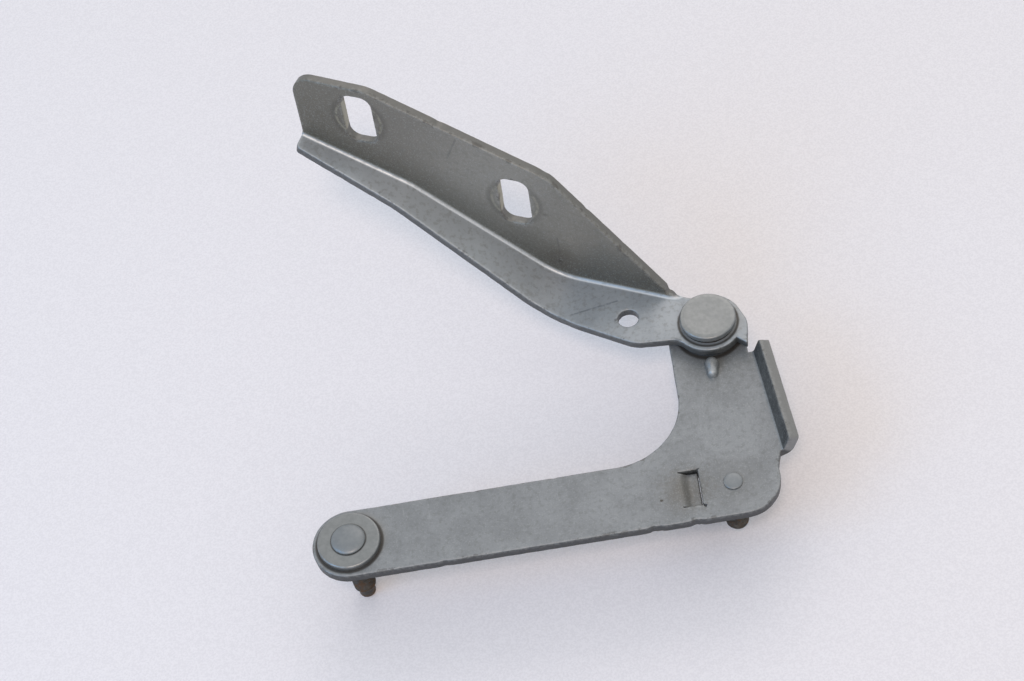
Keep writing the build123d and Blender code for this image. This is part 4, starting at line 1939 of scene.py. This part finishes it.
    def slot(self, centre: tuple[float, float]) -> Array:
        """Rounded slot on the flange, clockwise, given along the arm and up the leaning face.

        Args:
            centre: the slot's centre, along the arm and up the flange.

        Returns:
            The slot's points.
        """
        width, length, r = self.slot_size
        cx, cy = centre
        signs = ((-1, -1), (-1, 1), (1, 1), (1, -1))
        corners = [(cx + sx * width / 2, cy + sy * length / 2, r) for sx, sy in signs]
        loop = path(corners, 0.6)
        height = self.thickness + loop[:, 1] * math.cos(math.radians(self.lean))
        return np.stack([loop[:, 0], self.on_flange(loop[:, 0], height)], 1)

    def spot(self, along: float, up: float) -> Point:
        """Place in the hinge's frame of a point on the flange's inner face.

        Args:
            along: distance along the arm.
            up: distance up the leaning face, from the web's level at the pivot.

        Returns:
            Its x, y and z.
        """
        u = np.array([along])
        v = self.on_flange(u, np.array([self.thickness + up * math.cos(math.radians(self.lean))]))
        return tuple(float(c) for c in self.place(np.stack([u, v], 1), np.zeros(1))[0])

    def up_flange(self, p: Array) -> Array:
        """0 on the web, rising to 1 across the bend and by 1 more for each 30 mm up the flange.

        Args:
            p: points of the blank.

        Returns:
            The value of each point.
        """
        past = p[:, 1] - self.bend_start(p[:, 0])
        risen = np.clip(past / self.bend_length, 0, 1) + np.maximum(past - self.bend_length, 0) / 30
        return self.curled(p[:, 0]) * risen

    def fine_points(self) -> Array:
        """More points over the bend, all along the arm.

        Returns:
            The points of the blank.
        """
        u, k = np.meshgrid(np.arange(9.5, self.length, 1.2), np.linspace(-0.08, 1.08, 10))
        u, k = u.ravel(), k.ravel()
        return np.stack([u, self.bend_start(u) + k * self.bend_length], 1)

    def nicks(self) -> list[Nick]:
        """Bruises on the flange's crest, at a distance along the arm and a height.

        Returns:
            The nicks, on the blank.
        """
        nicks = []
        for u, height, width, depth in (
            (98.0, 67.5, 1.1, 0.3), (60.0, 53.0, 1.4, 0.35), (46.0, 37.8, 1.0, 0.3), (34.0, 23.5, 0.9, 0.25),
        ):
            nicks.append(Nick(u, float(self.on_flange(np.array([u]), np.array([height]))[0]), width, depth))
        return nicks

    def wear(self) -> WearAndPaintedLight:
        """Painted light on the web, darker and lighter patches and dents on the flange, scratches, the
        bolts' rings and painted shade round the rivet's head.

        Returns:
            The marks, in the hinge's frame.
        """
        web_top = self.level + self.thickness
        return WearAndPaintedLight(
            marks=[
                # Painted light: broad lighter, bluer patches where the web climbs, as if it caught more
                # light.
                Mark((-89.3, 112.1, 40.2), 30.0, 0.9, 0.6, (0.47, 0.50, 0.53)),
                Mark((-56.0, 87.0, 15.2), 16.0, 0.9, 0.2, (0.45, 0.48, 0.52)),
            ],
            leaf_marks=[
                Mark(self.spot(80.5, 40.3), 20.0, 0.9, 0.4, (0.31, 0.315, 0.30)),
                Mark(self.spot(143.8, 59.3), 19.0, 0.9, 0.85, (0.125, 0.12, 0.10)),
                Mark(self.spot(111.6, 62.1), 16.0, 0.9, 0.5, (0.17, 0.163, 0.145)),
                Mark(self.spot(57.4, 8.7), 3.2, 0.95, 0.4),
                Mark(self.spot(57.3, 6.7), 0.8, 0.7, 0.5),
                Mark(self.spot(60.9, 30.3), 0.6, 0.8, 0.4),
            ],
            scratches=[
                Scratch((-46.0, 76.2, 12.8), (-29.0, 79.0, 12.8), 0.35, 0.42),
                Scratch(self.spot(57.5, 19.3), self.spot(57.1, 12.0), 0.3, 0.3),
                Scratch(self.spot(91.1, 59.9), self.spot(95.6, 49.9), 0.35, 0.3),
                Scratch(self.spot(40.6, 35.2), self.spot(39.9, 30.9), 0.3, 0.45),
            ],
            seats=[Ring(self.spot(*slot), 8.6, 0.8) for slot in self.slots],
            # Painted shade, with some dirt, round the rivet's head.
            contact_shades=[Ring((*PIVOT, web_top), 10.4, 0.8)],
        )

    def build(self, effects: Effects) -> None:
        """Makes the arm, coats it and stands it in for the CAD node.

        Args:
            effects: the shared shader effects.
        """
        slots = [self.slot(centre) for centre in self.slots]
        loops = [self.outline(), *slots, circle(*self.gauge, 0.5), circle(0, 0, self.bore_r, self.pitch)]
        sheet = PressedSheet(
            self.place, self.up_flange, loops, self.thickness, self.fine_points(), self.nicks(), seed=23,
        )
        coat = ARM_COAT.material("coated_arm", effects, self.wear())
        dress(sheet.shell().piece("arm_sheet"), Body.ARM_SIDE, coat, "bonnet_arm")


@dataclass
class BodyStud:
    """A riveted M8 stud: thread, collar, spigot and peened end.

    Attributes:
        node: the CAD node that it stands in for.
        x: where it stands along X.
        tip: height of its tip.
        peen_base: height where the peened end starts.
        peen_r: radius of that end.
        peen_h: its height.
        spigot_r: radius of the spigot in the plate.
        dog_r: radius of the dog point, or 0.
        dog_length: its length.
        radius: radius of the thread.
        collar_r: radius of the collar.
        collar_t: its thickness.
        pitch: the thread's pitch.
        depth: the thread's depth.
    """

    node: str
    x: float
    tip: float
    peen_base: float
    peen_r: float
    peen_h: float
    spigot_r: float
    dog_r: float = 0.0
    dog_length: float = 0.0
    radius: float = 4.0
    collar_r: float = 10.9
    collar_t: float = 3.5
    pitch: float = 1.25
    depth: float = 0.72

    def point(self) -> list[tuple[float, float]]:
        """Profile of the tip: a dog point with a cone behind it, or a chamfer.

        Returns:
            The profile's points up to the thread.
        """
        if not self.dog_r:
            chamfer = [(self.radius - 0.8, self.tip, 0.3), (self.radius, self.tip + 0.8, 0.2)]
            return dense([(0.3, self.tip, 0), *chamfer, (self.radius, self.tip + 1.1, 0)], 0.3)
        shoulder = self.tip + self.dog_length
        dog = [(self.dog_r, self.tip, 0.5), (self.dog_r, shoulder, 0.4)]
        cone = [(self.radius - 0.1, shoulder + 1.5, 0.2), (self.radius, shoulder + 1.7, 0)]
        return dense([(0.3, self.tip, 0), *dog, *cone], 0.3)

    def profile(self) -> list[tuple[float, float]]:
        """Radius and height from the tip to the top of the peened dome.

        The dome is cos(t)^0.8 times its radius and sin(t) times its height, for t up to a quarter
        turn.

        Returns:
            The profile's points.
        """
        axis_r, brim = 0.02, 0.35
        rows = [(axis_r, self.tip), *self.point()]
        rows += [(self.radius, z) for z in np.arange(rows[-1][1] + 0.1, -0.3, 0.1)]
        rows += dense(
            [
                (self.radius, -0.2, 0), (self.radius, 0.0, 0.15), (self.collar_r, 0.0, 0.5),
                (self.collar_r, self.collar_t, 0.3), (self.spigot_r, self.collar_t, 0.2),
                (self.spigot_r, self.peen_base, 0.1), (self.peen_r, self.peen_base, 0.25),
                (self.peen_r, self.peen_base + brim, 0.0),
            ],
            0.5,
        )
        t = np.linspace(0.02, 1, 16)[1:] * math.pi / 2
        out, up = self.peen_r * np.cos(t) ** 0.8, self.peen_base + brim + (self.peen_h - brim) * np.sin(t)
        out[-1] = axis_r
        return rows + list(zip(out.tolist(), up.tolist()))

    def build(self, thread: bpy.types.Material, head: bpy.types.Material) -> None:
        """Makes the stud and stands it in for the CAD node.

        Args:
            thread: material of the thread and the collar.
            head: material of the peened end.
        """
        cone = 1.0 if self.dog_r else 0.0
        run = Thread(self.tip + self.dog_length + cone, -0.6, self.pitch, self.depth)
        shell = Turned(
            self.x, 0.0, self.profile(), seed=int(abs(self.x)) + 5,
            rim_at=[
                (self.peen_r, self.peen_base + 0.3), (self.collar_r, 0.1), (self.collar_r, self.collar_t),
            ],
            # Painted shade and dirt round the foot of the peened end.
            shade_crevices_at=[(self.peen_r + 0.25, self.peen_base)], steps=72, thread=run,
        ).shell()
        piece = shell.piece(self.node + "_turned", 50.0)
        dress(piece, Body.PLATE_SIDE, thread, self.node)
        piece.data.materials.append(head)
        middle = np.empty(len(piece.data.polygons) * 3)
        piece.data.polygons.foreach_get("center", middle)
        high = middle[2::3] > (self.peen_base - 0.2) * MM
        piece.data.polygons.foreach_set("material_index", high.astype(np.int32))


FRONT_STUD = BodyStud(
    "front_stud", -STUD_SPACING, tip=-25.5, peen_base=9.6, peen_r=5.9, peen_h=1.5, spigot_r=3.6,
    dog_r=2.9, dog_length=4.0,
)
REAR_STUD = BodyStud("rear_stud", 0.0, tip=-18.7, peen_base=PLATE_TOP, peen_r=3.25, peen_h=0.8, spigot_r=2.6)


@dataclass
class Pivot:
    """The flat-headed rivet that the arm turns on.

    Attributes:
        levels: heights of the tail's end and its top, the plate's top and the head's underside.
        radii: radii of the tail, the spigot in the plate, the shoulder and the head.
        head_t: the head's thickness.
    """

    levels: tuple[float, float, float, float] = (-0.8, 2.0, PLATE_TOP, 13.6)
    radii: tuple[float, float, float, float] = (7.5, 5.0, 6.0, 9.9)
    head_t: float = 2.9

    def build(self, material: bpy.types.Material) -> None:
        """Makes the rivet: tail, spigot, shoulder and a head with a round lower rim.

        Args:
            material: its material.
        """
        tail, tail_top, plate_top, head = self.levels
        tail_r, spigot, shoulder, head_r = self.radii
        axis_r = 0.02
        crown = head + self.head_t
        rows = dense(
            [
                (axis_r, tail, 0), (tail_r, tail, 1.3), (tail_r, tail_top, 0.5), (spigot, tail_top, 0.1),
                (spigot, plate_top, 0.1), (shoulder, plate_top, 0.1), (shoulder, head, 0.2),
                (head_r, head, 1.1), (head_r, crown - 0.1, 0.5), (head_r - 1.6, crown, 0.8),
                (axis_r, crown - 0.12, 0),
            ],
            0.35,
        )
        shell = Turned(
            *PIVOT, rows, seed=9, rim_at=[(head_r, crown - 0.2), (head_r - 0.3, crown)],
            # Painted shade and dirt under the head's rim.
            shade_crevices_at=[(head_r - 0.5, head), (head_r - 1.2, head)], steps=120, uneven=0.12,
        ).shell()
        dress(shell.piece("pivot_rivet_forged", 50.0), Body.PLATE_SIDE, material, "pivot_rivet")


@dataclass
class HeadWasher:
    """The thick washer under the front stud's peened end.

    Attributes:
        inner: radius of its hole.
        outer: its outer radius.
        thickness: its thickness.
        seat: radius of the peened end that stands on it.
    """

    inner: float = 3.62
    outer: float = 10.9
    thickness: float = 2.3
    seat: float = 6.0

    def build(self, material: bpy.types.Material) -> None:
        """Makes the washer as a rounded ring.

        Args:
            material: its material.
        """
        top = PLATE_TOP + self.thickness
        corners = [
            (self.inner, PLATE_TOP, 0.15), (self.outer, PLATE_TOP, 0.35),
            (self.outer, top, 0.55), (self.inner, top, 0.2),
        ]
        rows = [tuple(p) for p in path(corners, 0.5)]
        shell = Turned(
            -STUD_SPACING, 0.0, rows, seed=4, rim_at=[(self.outer, top - 0.2), (self.outer - 0.3, top)],
            # Painted shade and dirt where the washer stands on the plate and where the peened end stands on
            # it.
            shade_crevices_at=[(self.outer, PLATE_TOP), (self.seat, top)], steps=110, closed=True, uneven=0.06,
        ).shell()
        piece = shell.piece("stud_washer_ring", 45.0)
        dress(piece, Body.PLATE_SIDE, material, "front_stud_washer")


def dress_bearings(film: bpy.types.Material, steel: bpy.types.Material) -> None:
    """Gives the CAD's bush and washers, of which only the edges show, their materials.

    Args:
        film: the greased steel of the bush and the thrust washer.
        steel: the bare steel of the tail washer.
    """
    for name, material in (("pivot_bush", film), ("thrust_washer", film), ("tail_washer", steel)):
        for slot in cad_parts[name].material_slots:
            slot.material = material


# The photograph's place and light


@dataclass(frozen=True)
class Viewpoint:
    """The camera, in metres, as fitted to the photograph.

    Attributes:
        place: where it stands.
        right: the way to the picture's right.
        up: the way up the picture.
        back: the way back from the picture.
        lens: focal length in millimetres, on a sensor of the given width.
        sensor: that width.
    """

    place: Point = (-0.023533, -0.404739, 0.655429)
    right: Point = (0.984972, -0.099207, -0.141378)
    up: Point = (0.163510, 0.799264, 0.578309)
    back: Point = (0.055626, -0.592735, 0.803474)
    lens: float = 79.1
    sensor: float = 36.0

    def build(self) -> None:
        """Makes the camera and sets it."""
        data = bpy.data.cameras.new("camera")
        data.lens = self.lens
        data.sensor_width = self.sensor
        data.clip_start = 0.01
        data.clip_end = 20.0
        made = bpy.data.objects.new("camera", data)
        turn = Matrix((self.right, self.up, self.back)).transposed().to_4x4()
        turn.translation = self.place
        made.matrix_world = turn
        bpy.context.scene.collection.objects.link(made)
        bpy.context.scene.camera = made


@dataclass(frozen=True)
class Lamp:
    """A soft square lamp: where it is, its size in metres, power and colour, and what it faces."""

    name: str
    place: Point
    size: float
    power: float
    colour: Colour
    target: Point = (-0.06, 0.05, 0.0)

    def build(self) -> None:
        """Makes the lamp."""
        data = bpy.data.lights.new(self.name, "AREA")
        data.shape = "SQUARE"
        data.size = self.size
        data.energy = self.power
        data.color = self.colour
        made = bpy.data.objects.new(self.name, data)
        back = unit(np.array(self.place) - np.array(self.target))
        # The nudge gives a lamp straight above its target a side too.
        nudge = 1e-6
        side = unit(np.cross([0.0, 0.0, 1.0], back) + [nudge, 0.0, 0.0])
        turn = Matrix((tuple(side), tuple(np.cross(back, side)), tuple(back))).transposed().to_4x4()
        turn.translation = self.place
        made.matrix_world = turn
        bpy.context.scene.collection.objects.link(made)


WINDOW = Lamp("window", (0.3, 1.7, 1.5), 1.2, 7.0, (1.0, 0.88, 0.8))
CEILING = Lamp("ceiling", (-0.08, -1.0, 1.9), 0.35, 11.6, (1.0, 0.765, 0.62))
DOORWAY = Lamp("doorway", (-1.5, -0.6, 1.2), 1.0, 9.2, (0.1, 0.5, 1.0))


@dataclass(frozen=True)
class Studio:
    """The table top, the room's light and the lamps.

    Attributes:
        table: colour of the table top.
        speck: colour of its lighter specks.
        room: colour of the light from all sides.
        strength: how strong that light is.
        half: half the table top's width in metres.
    """

    table: Colour = (0.735, 0.725, 0.775)
    speck: Colour = (0.80, 0.79, 0.84)
    room: Colour = (0.99, 1.0, 0.975)
    strength: float = 0.715
    half: float = 2.5

    def build(self, level: float) -> None:
        """Makes the table, the lamps and the world.

        Args:
            level: height of the table top in metres.
        """
        self.lay_table(level)
        for lamp in (WINDOW, CEILING, DOORWAY):
            lamp.build()
        world = bpy.data.worlds.new("room_light")
        world.use_nodes = True
        sky = Desk(world.node_tree)
        light = sky.add("ShaderNodeBackground")
        light.inputs["Color"].default_value = (*self.room, 1.0)
        light.inputs["Strength"].default_value = self.strength
        sky.feed(sky.add("ShaderNodeOutputWorld").inputs["Surface"], light.outputs[0])
        bpy.context.scene.world = world
        bpy.context.scene.view_settings.view_transform = "Standard"

    def lay_table(self, level: float) -> None:
        """Makes the table top at a height in metres, as staging.

        Args:
            level: height of the table top in metres.
        """
        ends = (-self.half, self.half)
        mesh = bpy.data.meshes.new("table_top")
        mesh.from_pydata([(x, y, level) for y in ends for x in ends], [], [(0, 1, 3, 2)])
        table = bpy.data.objects.new("table_top", mesh)
        bpy.context.scene.collection.objects.link(table)
        material = bpy.data.materials.new("pale_table")
        material.use_nodes = True
        desk = Desk(material.node_tree)
        shader = desk.add("ShaderNodeBsdfPrincipled")
        shader.inputs["Roughness"].default_value = 0.7
        specks = desk.span(desk.noise(desk.millimetres(), size=0.7, detail=2.0, rough=0.6), 0.35, 0.65)
        desk.feed(shader.inputs["Base Color"], desk.mix(specks, self.table, self.speck))
        desk.feed(desk.add("ShaderNodeOutputMaterial").inputs["Surface"], shader.outputs[0])
        mesh.materials.append(material)
        table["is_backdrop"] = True


def main() -> None:
    """Builds the hinge's looks round the frame."""
    logging.basicConfig(level=logging.INFO, format="%(name)s: %(message)s")
    cad_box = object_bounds()
    effects = Effects()
    Viewpoint().build()
    BodyPlate().build(effects)
    BonnetArm().build(effects)
    forged = FORGED.material("forged_steel", effects)
    peened = PEENED.material("peened_steel", effects)
    thread = PHOSPHATED.material("phosphated_thread", effects)
    for stud in (FRONT_STUD, REAR_STUD):
        stud.build(thread, peened)
    Pivot().build(forged)
    HeadWasher().build(forged)
    dress_bearings(GREASED.material("greased_bearing", effects), forged)
    Studio().build(cad_box[0].z)


if __name__ == "__main__":
    main()
